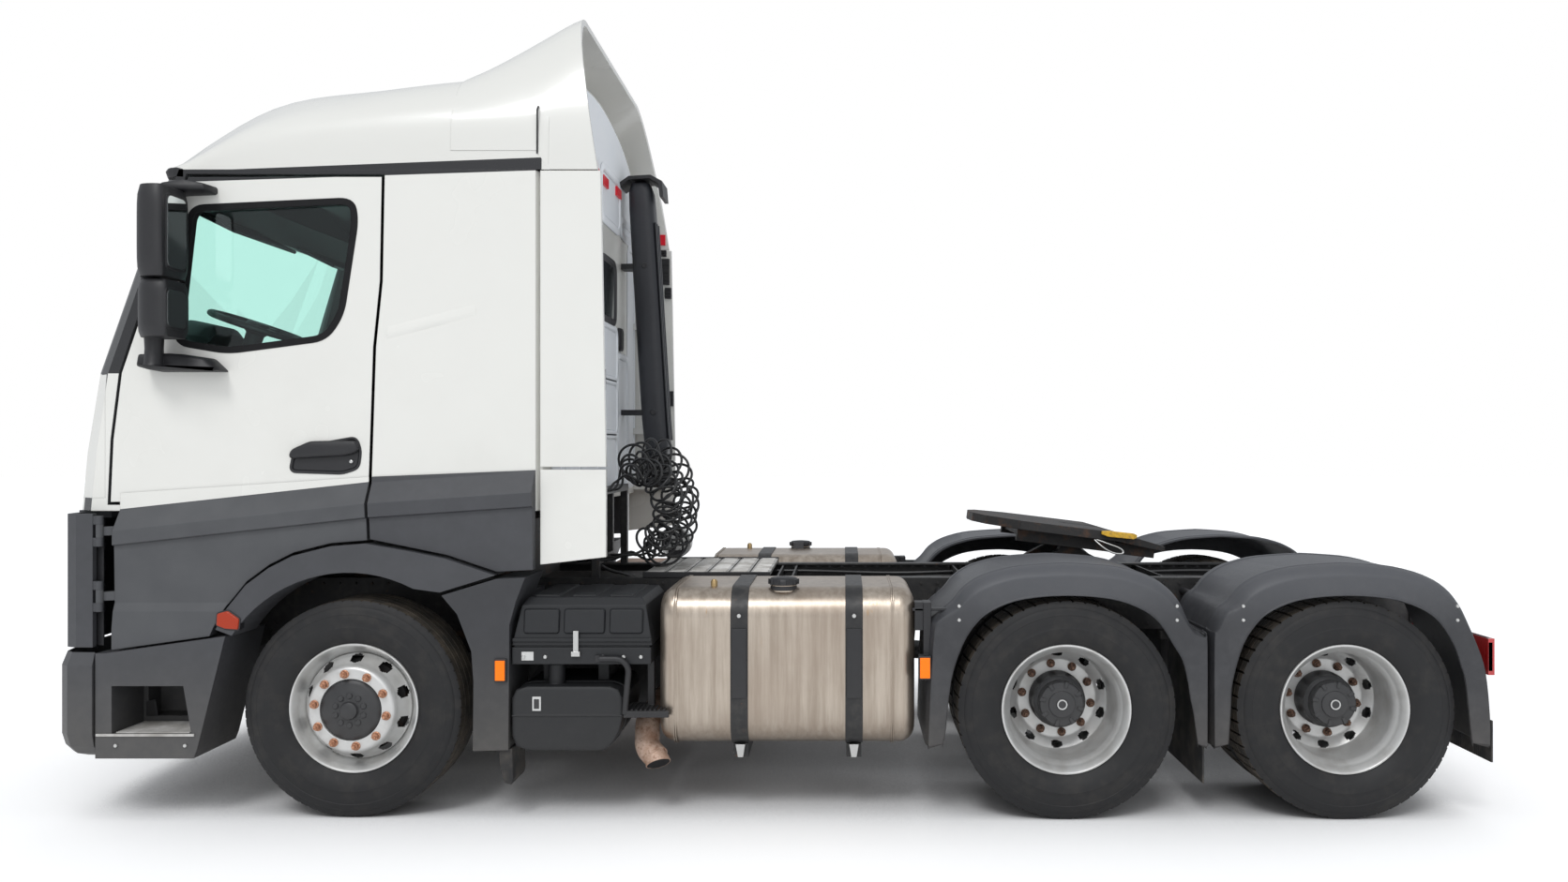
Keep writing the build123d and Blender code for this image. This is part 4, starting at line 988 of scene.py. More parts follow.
class TRACTOR_OT_hoses(Maker, bpy.types.Operator):
    """Curly hoses hanging behind the cab"""

    bl_idname = "tractor.hoses"
    bl_label = "Hoses"

    def coil(self, line, which, rounds, radius):
        """Loose turns along a line of points, twelve points to a turn."""
        up = Vector((0, 1, 0))
        lengths = [0.0]
        for a, b in zip(line, line[1:]):
            lengths.append(lengths[-1] + (b - a).length)
        points = []
        steps = rounds * 12
        for k in range(steps + 1):
            share = k / steps
            gone = share * lengths[-1]
            i = min(max(j for j, d in enumerate(lengths) if d <= gone + 1e-9), len(line) - 2)
            centre = line[i].lerp(line[i + 1], (gone - lengths[i]) / (lengths[i + 1] - lengths[i]))
            along = (line[i + 1] - line[i]).normalized()
            out = up.cross(along).normalized()
            # each turn leans over and opens a little differently
            lean = math.radians(48 + 20 * math.sin(share * 23 + which * 1.7))
            r = 1 + 0.14 * math.sin(share * 9 + which * 2.1) + 0.10 * math.sin(share * 37 + which)
            r = radius / 1000 * r
            r *= min(1.0, share * rounds * 0.5 + 0.55, (1 - share) * rounds * 0.5 + 0.55)
            a = 2 * math.pi * rounds * share
            rise = (up * math.cos(lean) + along * math.sin(lean)) * (r * math.sin(a))
            points.append(centre + out * (r * math.cos(a)) + rise)
        return points

    def make(self, s):
        for which, (node, y) in enumerate(HOSES):
            # the coils hang side by side, each in a tighter bow than the last
            bow = 1 - 0.17 * which
            line = [at(-1235 + (x + 1235) * bow, y, 1400 + (z - 1400) * bow) for x, z in smooth(COIL_LINE, 16)]
            coil = self.coil(line, which, s.coil_turns - 2 * which, mm(s.coil_radius))
            # easy bends out of the rack and back into it
            into = [at(-985, y, 1480), at(-1010, y, 1480), at(-1034, y - 4, 1492), at(-1046, y - 12, 1520),
                    at(-1046, y - 36, 1520).lerp(coil[0], 0.5)]
            back = [coil[-1].lerp(at(-1110, y + 28, 1118), 0.5), at(-1100, y + 6, 1144), at(-1062, y, 1124),
                    at(-1020, y, 1120), at(-985, y, 1120)]
            points = into + coil + back
            obj = curve(node + "_coil", points, mm(s.hose_radius), "chassis", "hose", (3, 3), caps=False)
            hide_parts(node)
            # the curve cuts the corners of its points by about this much
            length = sum((b - a).length for a, b in zip(points, points[1:])) * 0.965
            tuple(at(-985, y, 1480))


# Roof and deflector: x, then the height at each share of the half width.
SHARES = (0, 0.43, 0.70, 0.87, 0.98, 1.0)
ROOF = ((975, 3135, 3122, 3088, 3042, 3018, 3010), (850, 3330, 3300, 3215, 3085, 3025, 3010),
        (480, 3510, 3480, 3412, 3300, 3185, 3010), (0, 3590, 3560, 3480, 3390, 3245, 3010),
        (-470, 3640, 3600, 3530, 3445, 3275, 3010), (-900, 3650, 3610, 3540, 3455, 3295, 3010))
DEFLECTOR = ((-440, 3646, 3606, 3536, 3449, 3276, 3010), (-600, 3700, 3690, 3620, 3500, 3284, 3010),
             (-800, 3790, 3785, 3735, 3570, 3295, 3010), (-985, 3849, 3849, 3832, 3640, 3305, 3010),
             (-1125, 3849, 3849, 3832, 3640, 3310, 3010))
DEFLECTOR_FRONT, DEFLECTOR_TOP = -440, 3849
DEFLECTOR_TAIL = (-983, -983, -986, -1020, -1079, -1126)  # x of its rear edge at each share
CAB_FRONT = ((0, 965), (690, 950), (1081, 897), (1150, 822))  # (y, x) under the roof


def columns(rows):
    """Each share's smooth (x, height) line."""
    return [smooth([(row[0], row[k + 1]) for row in rows], 5) for k in range(len(SHARES))]


class TRACTOR_OT_roof(Maker, bpy.types.Operator):
    """Roof shell with the pressings and markers of its rear wall"""

    bl_idname = "tractor.roof"
    bl_label = "Roof"

    def make(self, s):
        lines, front = columns(ROOF), smooth(CAB_FRONT, 4)
        stations = [k / 22 for k in range(23)]

        def across(u, drop=0.0, inset=0.0):
            """Section at share u from the back to the front."""
            ring = []
            for k, share in enumerate(SHARES):
                y = share * (CAB_HALF - inset)
                x = CAB_BACK + (read(front, y) - inset - CAB_BACK) * u
                z = max(read(lines[k], x) - drop, ROOF_SEAM + 1 + 3 * (5 - k)) if k < 5 else ROOF_SEAM
                ring.append((x, y, z))
            return smooth(mirrored(ring), 4)

        shape = Shape()
        skin = [across(u) for u in stations]
        lip = [[(x + 3, y, ROOF_SEAM + (z - ROOF_SEAM) * q) for x, y, z in skin[-1]] for q in (0.75, 0.35, 0.0)]
        inner = [across(u, 40, 40) for u in reversed(stations)]
        turn_in = [[(x, y, ROOF_SEAM - 6) for x, y, z in inner[0]]]
        shape.rings(skin + lip + turn_in + inner, closed=False, caps=False, round_=True)
        # rear wall with its pressings and markers
        back = across(0, 8, 6)
        shape.rings([[(x, y, z) for _, y, z in back] for x in (-892, -900)], 1, soft=False)
        for y0, y1, top in ((-1010, -640, 3130), (-560, -60, 3330), (60, 560, 3330), (640, 1010, 3130)):
            face = rounded(rect(y0, y1, 3050, top - 40), 50)
            shape.stack(face, "x", ((0, -900), (14, -910), (40, -910), (54, -902)), 1, soft=True)
        for y, z in ((-129, 3237), (-524, 3257), (129, 3237), (524, 3257)):
            shape.box(-900, -913, y - 72, y + 72, z - 27, z + 27, 2)
        shape.place("roof", "cab", "roof_white wall_blue red_lens", sharp=32, replaces=["cab_roof"])


class TRACTOR_OT_deflector(Maker, bpy.types.Operator):
    """Air deflector on the roof"""

    bl_idname = "tractor.deflector"
    bl_label = "Air deflector"

    def make(self, s):
        lines = columns(DEFLECTOR)

        def wedge(u, drop=0.0, inset=0.0):
            """Section at share u from the front edge to the tail."""
            ring = []
            for k, share in enumerate(SHARES):
                x = DEFLECTOR_FRONT + (DEFLECTOR_TAIL[k] - DEFLECTOR_FRONT) * u
                z = min(read(lines[k], x), DEFLECTOR_TOP - 1) - drop if k < 5 else (3100 if x > -858 else 3011)
                ring.append((x, share * (CAB_HALF - inset), z))
            return [(x, y, min(z, DEFLECTOR_TOP - drop)) for x, y, z in smooth(mirrored(ring), 4)]

        shape = Shape()
        skin = [wedge(k / 12) for k in range(13)]
        inner = [wedge(k / 12, 26, 28) for k in range(12, -1, -1)]
        shape.rings(skin + inner, closed=False, caps=False, round_=True)
        # the stays that hold the skin off the rear wall
        for sign in (1, -1):
            shape.rings([[(x, sign * (y0 + y), z) for y, z in ((0, 3120), (0, 3154), (25, 3154), (25, 3120))]
                         for x, y0 in ((-905, 1060), (-1040, 1085))], 1, soft=False)
        shape.place("deflector", "cab", "deflector_white black", sharp=30, replaces=["roof_spoiler"])


class TRACTOR_OT_roof_trim(Maker, bpy.types.Operator):
    """Low lip over the windscreen, and the joint line where the deflector begins"""

    bl_idname = "tractor.roof_trim"
    bl_label = "Roof trim"

    def make(self, s):
        front = smooth(CAB_FRONT, 4)
        shape = Shape()
        shape.rings([[(x - 26, y, 3012), (x + 4, y, 3020), (x + 14, y * 1.002, 3004), (x + 6, y, 2978),
                      (x - 26, y, 2976)] for x, y in mirrored([(x + 6, y) for y, x in front])])
        for sign in (1, -1):
            shape.rings([[(x, sign * (y + d), z) for x, d in ((-850, -2), (-850, 0.8), (-842, 0.8), (-842, -2))]
                         for y, z in ((1152, 3084), (1150.5, 3290), (1128, 3312))], soft=False)
        shape.place("roof_trim", "cab", "black", sharp=40)


WINDOW = [(835, 2205), (764, 2830), (17, 2865), (0, 2773), (66, 2337), (140, 2225), (594, 2165)]
HANDLE_CUP = [(301, 1606), (286, 1681), (206, 1722), (-2, 1759), (-22, 1700), (-12, 1622), (60, 1598)]
HANDLE_PULL = [(300, 1668), (292, 1700), (206, 1738), (-8, 1742), (-16, 1700), (40, 1683)]


class TRACTOR_OT_door_trim(Maker, bpy.types.Operator):
    """Window frames and handles of the doors, and the body line behind them"""

    bl_idname = "tractor.door_trim"
    bl_label = "Door trim"

    def make(self, s):
        edge = rounded(WINDOW, 62, 6)
        cup, pull = rounded(HANDLE_CUP, 26, 5), rounded(HANDLE_PULL, 20, 5)
        for side, sign in SIDES:
            shape = Shape()
            frame_steps = ((16, 1147), (15, 1152.5), (-14, 1152.5), (-16, 1151), (-16, 1118), (6, 1098))
            shape.stack(edge, "y", frame_steps, caps=False, side=sign)
            # inside: dark lining round the pane
            shape.stack(edge, "y", ((4, 1099), (30, 1090), (70, 1088)), 1, soft=True, caps=False, side=sign)
            # handle: cup, pull and lock
            shape.stack(cup, "y", ((10, 1149), (9, 1153), (0, 1154), (-12, 1142), (-26, 1126)), 2, soft=True,
                        side=sign)
            shape.stack(pull, "y", ((3, 1150), (7, 1160), (3, 1169), (-6, 1174)), 2, soft=True, side=sign)
            shape.lathe([(9, sign * 1150), (9, sign * 1157), (7, sign * 1159), (0, sign * 1159)], (18, 0, 1650),
                        count=20, slot=3)
            shape.place(f"door_trim_{side}", f"door_{side}",
                        "seal dash_grey black steel_bright", sharp=50)
        # body line pressed into the cab side behind the doors
        shape = Shape()
        for sign in (1, -1):
            rows = []
            for t in (k / 8 for k in range(6)):
                x, z = -560 + 660 * t, 2345 - 170 * t
                h = 7 * math.sin(math.pi * min(1, t * 1.2 + 0.05)) + 0.4
                section = ((CAB_HALF, 42), (1149.6 + h, 6), (1149.6 + h, -2), (CAB_HALF, -20))
                rows.append([(x, sign * y, z + up) for y, up in section])
            shape.rings(rows, caps=False, closed=False)
        shape.place("body_line", "cab", "white", sharp=60)


# Mirror housings from above: (x, y), then from and to which height.
MAIN_MIRROR = [(738, 1225), (734, 1400), (742, 1440), (790, 1448), (846, 1430), (885, 1370), (898, 1290),
               (890, 1230), (865, 1206), (780, 1204)]
WIDE_MIRROR = [(735, 1225), (732, 1380), (742, 1412), (790, 1420), (850, 1402), (898, 1345), (915, 1275),
               (905, 1226), (875, 1204), (780, 1204)]
MIRRORS = ((MAIN_MIRROR, 2478, 2885), (WIDE_MIRROR, 2212, 2466))
# Arm and foot from the side, with how far they grow at which y.
MIRROR_ARM = ([(640, 2890), (640, 2926), (745, 2946), (850, 2930), (880, 2880), (850, 2862), (790, 2884)],
              ((0, 1150), (-5, 1256), (-12, 1262)))
MIRROR_FOOT = ([(585, 2066), (650, 2128), (800, 2150), (955, 2146), (965, 2085), (900, 2066)],
               ((0, 1150), (-4, 1250), (-16, 1262)))


class TRACTOR_OT_mirrors(Maker, bpy.types.Operator):
    """Mirror heads, arms and glasses"""

    bl_idname = "tractor.mirrors"
    bl_label = "Mirrors"

    def make(self, s):
        centre = Vector((820, 1310))
        for side, sign in SIDES:
            shape = Shape()
            for plan, z0, z1 in MIRRORS:
                rows = []
                for t in (k / 10 for k in range(11)):
                    swell = (1 - abs(2 * t - 1) ** 4.5) ** 0.35 if 0 < t < 1 else 0.35
                    swell = 0.80 + 0.20 * swell
                    ring = smooth([tuple(centre + (Vector(p) - centre) * swell) for p in plan], 3, closed=True)
                    rows.append([(max(x, 738.0), sign * y, z0 + (z1 - z0) * t) for x, y in ring])
                shape.rings(rows)
                # bezel and glass, facing back
                for inset, x, slot in ((14, 735, 0), (24, 731.5, 1)):
                    face = rect(1225 + inset, 1425 - inset, z0 + 18 + inset, z1 - 18 - inset)
                    shape.stack(rounded(face, 34, 5), "x", ((0, 760), (-2, x)), slot, side=sign)
            for outline, steps in (MIRROR_ARM, MIRROR_FOOT):
                shape.stack(rounded(outline, 16), "y", steps, soft=True, side=sign)
            for r, z0, z1 in ((42, 2088, 2240), (26, 2440, 2500)):
                shape.lathe([(r * 1.15, z0), (r, z0 + 12), (r * 0.92, (z0 + z1) / 2), (r, z1)],
                            (872, sign * 1262, 0), "z", 24)
            shape.place(f"mirror_set_{side}", f"door_{side}", "black mirror_glass", sharp=48,
                        replaces=[f"mirror_{side}"])


# Half outlines of a rear mudguard: distance along x from the axle, height.
CROWN = ((0, 1176), (110, 1170), (250, 1156), (385, 1118), (470, 1065), (525, 1000))
CREASE = ((0, 1131), (100, 1126), (240, 1114), (370, 1074), (448, 1030), (503, 972))
LIP = ((0, 1040), (115, 1035), (240, 1015), (350, 970), (420, 912), (483, 812))
# How each of the three goes on down a leg.
FEET = {
    "long": (((600, 935), (632, 880), (645, 610), (652, 345)), ((580, 925), (612, 870), (630, 600), (640, 345)),
             ((535, 650), (560, 420), (568, 380), (575, 345))),
    "hind": (((560, 925), (596, 868), (640, 846), (650, 820), (650, 345)),
             ((541, 915), (580, 858), (627, 836), (638, 812), (638, 345)),
             ((525, 740), (548, 650), (562, 560), (575, 500), (596, 345))),
    "fore": (((574, 960), (618, 870), (627, 828), (625, 345)), ((555, 950), (600, 862), (614, 820), (613, 345)),
             ((530, 650), (538, 540), (545, 420), (551, 345))),
    "tail": (((568, 910), (625, 765), (648, 644), (660, 460), (660, 350)),
             ((547, 897), (608, 755), (633, 644), (648, 460), (648, 350)),
             ((515, 720), (535, 650), (548, 540), (560, 420), (570, 350))),
}


class TRACTOR_OT_fenders(Maker, bpy.types.Operator):
    """Rear mudguards with their ribs, joints and bolts, and the side lamps"""

    bl_idname = "tractor.fenders"
    bl_label = "Rear mudguards"

    def guard(self, shape, axle, fore, hind):
        crown, crease, lip = ([(axle + x, z) for x, z in reversed(smooth(half + ahead, 3))] +
                              [(axle - x, z) for x, z in smooth(half + behind, 3)][1:]
                              for half, ahead, behind in zip((CROWN, CREASE, LIP), FEET[fore], FEET[hind]))
        under = [(x + (axle - x) / max(abs(x - axle), 260) * 10, z - (10 if abs(x - axle) < 520 else 2))
                 for x, z in crown]
        rows = []
        for (cx, cz), (kx, kz), (lx, lz), (ux, uz) in zip(crown, crease, lip, under):
            mid = Vector((cx, cz)).lerp(Vector((kx, kz)), 0.25)
            # top with two ribs, from the inner edge outwards
            row = [(ux, 606, uz), (ux, 602, uz), (cx, 601, cz)]
            row += [(cx, y, cz + up) for y, up in ((640, 0), (645, 5), (662, 5), (667, 0), (1120, 0), (1125, 4),
                                                   (1142, 4), (1147, 0), (1178, 0))]
            # crease, outer side and lip, then back underneath
            row += [(mid.x, 1204, mid.y), (kx, 1236, kz + 6), (kx, 1240, kz - 4),
                    (lx + (kx - lx) * 0.94, 1239, lz + (kz - lz) * 0.9), (lx, 1236, lz + 10), (lx, 1238, lz),
                    (lx, 1226, lz), (lx, 1228, lz + 12), (kx + (ux - kx) * 0.3, 1226, kz - 14),
                    (ux, 1180, uz - 3), (ux, 900, uz)]
            rows.append(row)
        shape.rings(rows)
        # rolled lip round the opening
        shape.rings([[(x, 1236 + 5 * math.cos(q), z + 5 * math.sin(q)) for q in turns(8)] for x, z in lip])
        # stays to the chassis
        for sx, sz in ((528, 960), (-520, 950)):
            shape.lathe([(0, 425), (20, 425), (20, 1150), (0, 1150)], (axle + sx, 0, sz), "y", 20, 1)
        # joint between crown and legs, with its bolts
        z = 976
        for sign in (1, -1):
            x = next((px for px, pz in (crown if sign < 0 else reversed(crown))
                      if abs(pz - z) < 46 and (px - axle) * sign > 0), axle + sign * 540)
            seam = [(x + sign * 2, z - 3), (x + sign * 6, z), (x + sign * 2, z + 3)]
            shape.rings([lay(seam, "y", y) for y in (612, 1180)], 1, soft=False)
            for dz in (-52, 12):
                shape.lathe([(0, 4), (7, 4), (9, 0), (9, -4)], (x - sign * 26, 1238, z + dz), "y", 10, 2)

    def make(self, s):
        shape = Shape()
        self.guard(shape, REAR[0], "long", "hind")
        self.guard(shape, REAR[1], "fore", "tail")
        shape.both_sides()
        shape.place("mudguards_rear", "chassis", "fender_grey black steel_bright", sharp=38,
                    replaces=["rear_fenders"])

        # small lamps, brackets and flap edges beside them
        shape = Shape()
        for x0, x1, z0, z1 in ((-2617, -2671, 654, 759), (-675, -727, 643, 746)):
            shape.rings([lay(((x0 + d, z0 - d), (x0 + d, z1 + d), (x1 - d, z1 + d), (x1 - d, z0 - d)), "y", y)
                         for d, y in ((0, 1180), (2, 1244), (-2, 1246))], 1, soft=False)
            shape.box(x0 - 4, x1 + 4, 1246, 1256, z0 + 6, z1 - 6)
        shape.box(-2640, -2676, 1100, 1200, 640, 1000, 1)
        shape.box(-2590, -2760, 1150, 1192, 960, 972, 1)
        shape.box(-2600, -2640, 1120, 1192, 870, 1000, 1)
        shape.both_sides()
        shape.place("side_lamps", "chassis", "orange_lens black", bevel=2)


TANK_SECTION = rounded(rect(500, 1200, 333, 1060), 118, 8)
UREA_SIDE = [(-745, 392), (-767, 342), (-817, 320), (-1165, 320), (-1205, 348), (-1242, 410), (-1258, 483),
             (-1258, 560), (-1238, 602), (-1196, 617), (-817, 617), (-765, 602), (-745, 560)]


class TRACTOR_OT_tanks(Maker, bpy.types.Operator):
    """Weld seams, filler caps and strap bolts of the fuel tanks"""

    bl_idname = "tractor.tanks"
    bl_label = "Fuel tanks"

    def make(self, s):
        shape = Shape()
        for x in (-1497, -1488, -2502, -2493):
            shape.stack(TANK_SECTION, "x", ((-1, x - 3), (3, x - 2), (3, x + 2), (-1, x + 3)), soft=True,
                        caps=False)
        cx, cy = -1990, 1090
        shape.lathe([(62, 1048), (62, 1066), (56, 1070), (66, 1072), (68, 1080), (66, 1096), (58, 1104),
                     (20, 1108), (0, 1108)], (cx, cy, 0), "z", 40, 1)
        for a in turns(10):
            u, v = math.cos(a), math.sin(a)
            knob = [(cx + r * u - w * v, cy + r * v + w * u) for r, w in ((64, 6), (73, 4), (73, -4), (64, -6))]
            shape.rings([lay(knob, "z", z) for z in (1074, 1098)], 1, soft=False)
        shape.box(-1945, -2012, 1010, 1040, 1058, 1100, 2)
        shape.lathe([(16, 1050), (16, 1082), (10, 1092), (0, 1094)], (-1660, 1060, 0), "z", 20, 3)
        # bolts and feet under the straps
        for x in (-1790, -2320):
            foot = ((rect(x - 22, x + 22, 1090, 1140), 330), (rect(x - 12, x + 12, 1100, 1130), 268))
            shape.rings([lay(outline, "z", z) for outline, z in foot], 4, soft=False)
            shape.box(x - 34, x + 34, 1204, 1212, 560, 880, 5)
            shape.lathe([(0, 1218), (9, 1218), (10, 1210)], (x, 0, 940), "y", 12, 4)
        shape.both_sides()
        shape.place("tank_fittings", "chassis",
                    "tank_steel black grey brass steel_bright black", sharp=40)


class TRACTOR_OT_side_boxes(Maker, bpy.types.Operator):
    """Battery box and additive tank: lids, latch, seams, filler and gauge"""

    bl_idname = "tractor.side_boxes"
    bl_label = "Side boxes"

    def make(self, s):
        # battery box: ribbed lid, latch, bolt heads
        shape = Shape()
        for x0, x1 in ((-1345, -1195), (-1170, -985), (-960, -800)):
            face = rounded(rect(x0, x1, 860, 968), 12)
            shape.rings([[(x, y + (985 - z) * 0.12, z) for x, z in grow(face, by)]
                         for by, y in ((4, 1190), (-3, 1201))], 0, soft=False)
        shape.box(-750, -1388, 1206, 1222, 822, 838, 0)
        latch = -1042
        shape.box(latch - 12, latch + 12, 1216, 1228, 770, 872, 1)
        shape.box(latch - 20, latch + 20, 1216, 1234, 756, 778, 1)
        shape.lathe([(0, 1226), (8, 1226), (9, 1216)], (latch, 0, 860), "y", 14, 1)
        for x in (-800, -900, -1164, -1260, -1340):
            shape.lathe([(0, 1224), (8, 1223), (10, 1214)], (x, 0, 752), "y", 12, 1)
        shape.box(-790, -846, 1213, 1217, 735, 775, 2)
        # additive tank: front face, seam, filler, sight gauge
        path = rounded(UREA_SIDE, 26, 3)
        shape.stack(path, "y", ((-6, 1206), (-2, 1217), (-10, 1221), (-20, 1222)), 3, soft=True)
        shape.stack(path, "y", ((-1, 1090), (5, 1094), (5, 1104), (-1, 1108)), 3, soft=True, caps=False)
        shape.box(-748, -1256, 1219, 1226, 479, 487, 3)
        shape.lathe([(34, 612), (34, 640), (30, 650), (36, 652), (38, 690), (32, 700), (12, 706), (0, 706)],
                    (-930, 1120, 0), "z", 32, 4)
        shape.box(-842, -882, 1220, 1226, 505, 570, 2)
        shape.box(-850, -874, 1225, 1228, 515, 560, 5)
        shape.place("box_fittings", "chassis",
                    "box_black steel_bright rim_silver box_black cap_blue hub_black", bevel=1.5, sharp=40)


class TRACTOR_OT_steps(Maker, bpy.types.Operator):
    """Treads, sills and grab edges of the boarding steps"""

    bl_idname = "tractor.steps"
    bl_label = "Boarding steps"

    def make(self, s):
        shape = Shape()
        for y in range(1012, 1223, 15):
            shape.rib(728, 1069, y, y + 6, 403, 7, (3, 1))
        shape.box(700, 1150, 1236, 1246, 392, 404, 0)
        shape.box(712, 1084, 1000, 1236, 622, 634, 1)
        grab = rounded([(1010, 430), (1066, 430), (1066, 500), (1022, 510)], 8)
        shape.stack(grab, "y", ((0, 986), (0, 992)), 1)
        for x in (742, 1060):
            shape.lathe([(0, 1247), (8, 1247), (9, 1240)], (x, 0, 350), "y", 12, 2)
        shape.both_sides()
        shape.place("step_treads", "cab", "aluminium_plain black steel_bright", bevel=1, sharp=40)


class TRACTOR_OT_exhaust(Maker, bpy.types.Operator):
    """Open end of the exhaust pipe, bending down and out"""

    bl_idname = "tractor.exhaust"
    bl_label = "Exhaust end"

    def make(self, s):
        def hoop(centre, facing, radius):
            facing = Vector(facing).normalized()
            u = facing.cross(Vector((0, 1, 0))).normalized()
            v = facing.cross(u)
            return [tuple(Vector(centre) + (u * math.cos(a) + v * math.sin(a)) * radius) for a in turns(32)]

        along, down = (-0.67, 0.57, -0.46), (-0.30, 0.50, -0.81)
        mouth = (-1408, 1136, 239)
        shape = Shape()
        shape.rings([hoop((-1366, 1093, 285), along, 55), hoop((-1390, 1114, 268), along, 57.5),
                     hoop((-1407, 1134, 241), down, 59), hoop(mouth, down, 57), hoop(mouth, down, 54)],
                    caps=False)
        shape.rings([hoop(mouth, down, 54.5), hoop((-1406.6, 1133.6, 242.8), down, 53)], 1, soft=False)
        shape.place("exhaust_tip", "chassis", "exhaust_rust seal", sharp=60)


class TRACTOR_OT_side_plates(Maker, bpy.types.Operator):
    """Splash plate beside the frame behind the boxes, and the fold-out step's grip"""

    bl_idname = "tractor.side_plates"
    bl_label = "Side plates"

    def make(self, s):
        plate = Shape().box(-780, -1400, 470, 476, 330, 800)
        plate.place("splash_plate", "chassis", "frame_black", bevel=1)
        shape = Shape()
        for k in range(9):
            shape.box(-1275 - k * 21, -1285 - k * 21, 1090 + k * 8, 1238, 508, 514)
        shape.place("side_step_grip", "chassis", "black", bevel=1)


# Pressings of the rear wall, each on both sides: y and z from and to.
PRESSINGS = ((40, 480, 1500, 1760), (40, 480, 1820, 2080), (40, 480, 2140, 2400), (540, 830, 1500, 2250),
             (890, 1060, 1500, 2960))
# The intake duct: how far it grows at each height, and its middle's x.
DUCT = ((1676, -14), (1700, -6), (1740, 0), (1890, 2), (2300, 3), (2800, 2), (3180, 0), (3290, -4), (3340, -20),
        (3356, -44))
DUCT_MIDDLE = ((1500, -1128), (1700, -1122), (1890, -1106), (3330, -1018), (3420, -1014))
# Air lines along the frame: mean y and z, and radius.
AIR_LINES = ((300, 985, 9), (280, 962, 7), (306, 935, 6), (-300, 985, 9), (-282, 958, 7))


class TRACTOR_OT_rear_wall(Maker, bpy.types.Operator):
    """Pressings, panel, framed pane and latch of the cab's rear wall"""

    bl_idname = "tractor.rear_wall"
    bl_label = "Rear wall"

    def make(self, s):
        shape = Shape()
        for sign in (1, -1):
            for pressing in PRESSINGS:
                face = rounded(rect(*pressing), 40)
                shape.stack(face, "x", ((0, -898), (12, -909), (34, -909), (46, -901)), soft=True, side=sign)
        # pressed panel over the left opening, and the framed pane beside the middle
        panel = rounded(rect(360, 840, 2330, 2870), 50, 5)
        shape.stack(panel, "x", ((12, -899), (0, -909), (60, -909), (74, -903)), 0, soft=True)
        frame_line = rounded(rect(-425, -40, 2466, 2792), 60, 6)
        shape.stack(frame_line, "x", ((34, -899), (30, -912), (4, -914), (-10, -905)), 1)
        shape.stack(frame_line, "x", ((-8, -904), (-10, -906)), 2)
        latch = rounded(rect(-650, -520, 2301, 2444), 40, 5)
        shape.stack(latch, "x", ((0, -899), (-3, -916), (-14, -920)), 1, soft=True)
        shape.place("rear_wall", "cab", "wall_blue black dark_pane", sharp=40)


class TRACTOR_OT_intake(Maker, bpy.types.Operator):
    """Moulded duct that leans back as it goes down, bellows below, bracket round its head"""

    bl_idname = "tractor.intake"
    bl_label = "Air intake"

    def make(self, s):
        def duct(z, by):
            x = read(DUCT_MIDDLE, z)
            return lay(grow(rounded(rect(x + 77, x - 77, -606, -796), 58, 5), by), "z", z)

        shape = Shape()
        shape.rings([duct(z, by) for z, by in DUCT])
        for y in (-640, -700, -760):
            rib = ((-2, -14), (-9, -9), (-9, 9), (-2, 14))
            shape.rings([[(duct(z, 0)[12][0] + d, y + w, z) for d, w in rib]
                         for z in (1760, 1890, 2200, 2500, 2800, 3100)], 0, soft=False)
        bellow = [(90 if k % 2 else 76, 1470 + k * 14) for k in range(15)]
        shape.lathe([(0, 1466), *bellow, (70, 1684), (0, 1690)], (-1112, -701, 0), "z", 40, 1)
        bracket = [(-903, 3338), (-955, 3376), (-1090, 3384), (-1160, 3346), (-1168, 3250), (-1146, 3250),
                   (-1136, 3330), (-1082, 3362), (-962, 3356), (-903, 3314)]
        shape.stack(bracket, "y", ((0, -812), (0, -590)), 1)
        for z in (1930, 2830):
            strap = [(-901, -640), (-901, -760), (-1080, -790), (-1080, -612)]
            shape.stack(strap, "z", ((0, z - 16), (0, z + 16)), 1)
            shape.lathe([(0, -600), (16, -600), (18, -612)], (-1050 - (2830 - z) * 0.06, 0, z), "y", 14, 1)
        shape.place("intake", "cab", "duct_grey black", sharp=38, replaces=["intake_stack"])


class TRACTOR_OT_fairing_marks(Maker, bpy.types.Operator):
    """Red reflector, clips and cable plate inside each side fairing"""

    bl_idname = "tractor.fairing_marks"
    bl_label = "Fairing marks"

    def make(self, s):
        shape = Shape().box(-1068, -1103, 1108, 1125, 3040, 3108)
        for x0, x1, z0, z1 in ((-1058, -1110, 2966, 3006), (-1066, -1130, 2780, 2950),
                               (-1100, -1142, 2690, 2760), (-1112, -1156, 1985, 2083)):
            shape.box(x0, x1, 1102, 1126, z0, z1, 1)
            for k in range(3):
                low, high = (z0 + (z1 - z0) * (share + 0.3 * k) for share in (0.15, 0.27))
                shape.box(x0 - 3, x1 + 3, 1098, 1104, low, high, 1)
        shape.both_sides()
        shape.place("fairing_marks", "cab", "red_lens black", bevel=1)


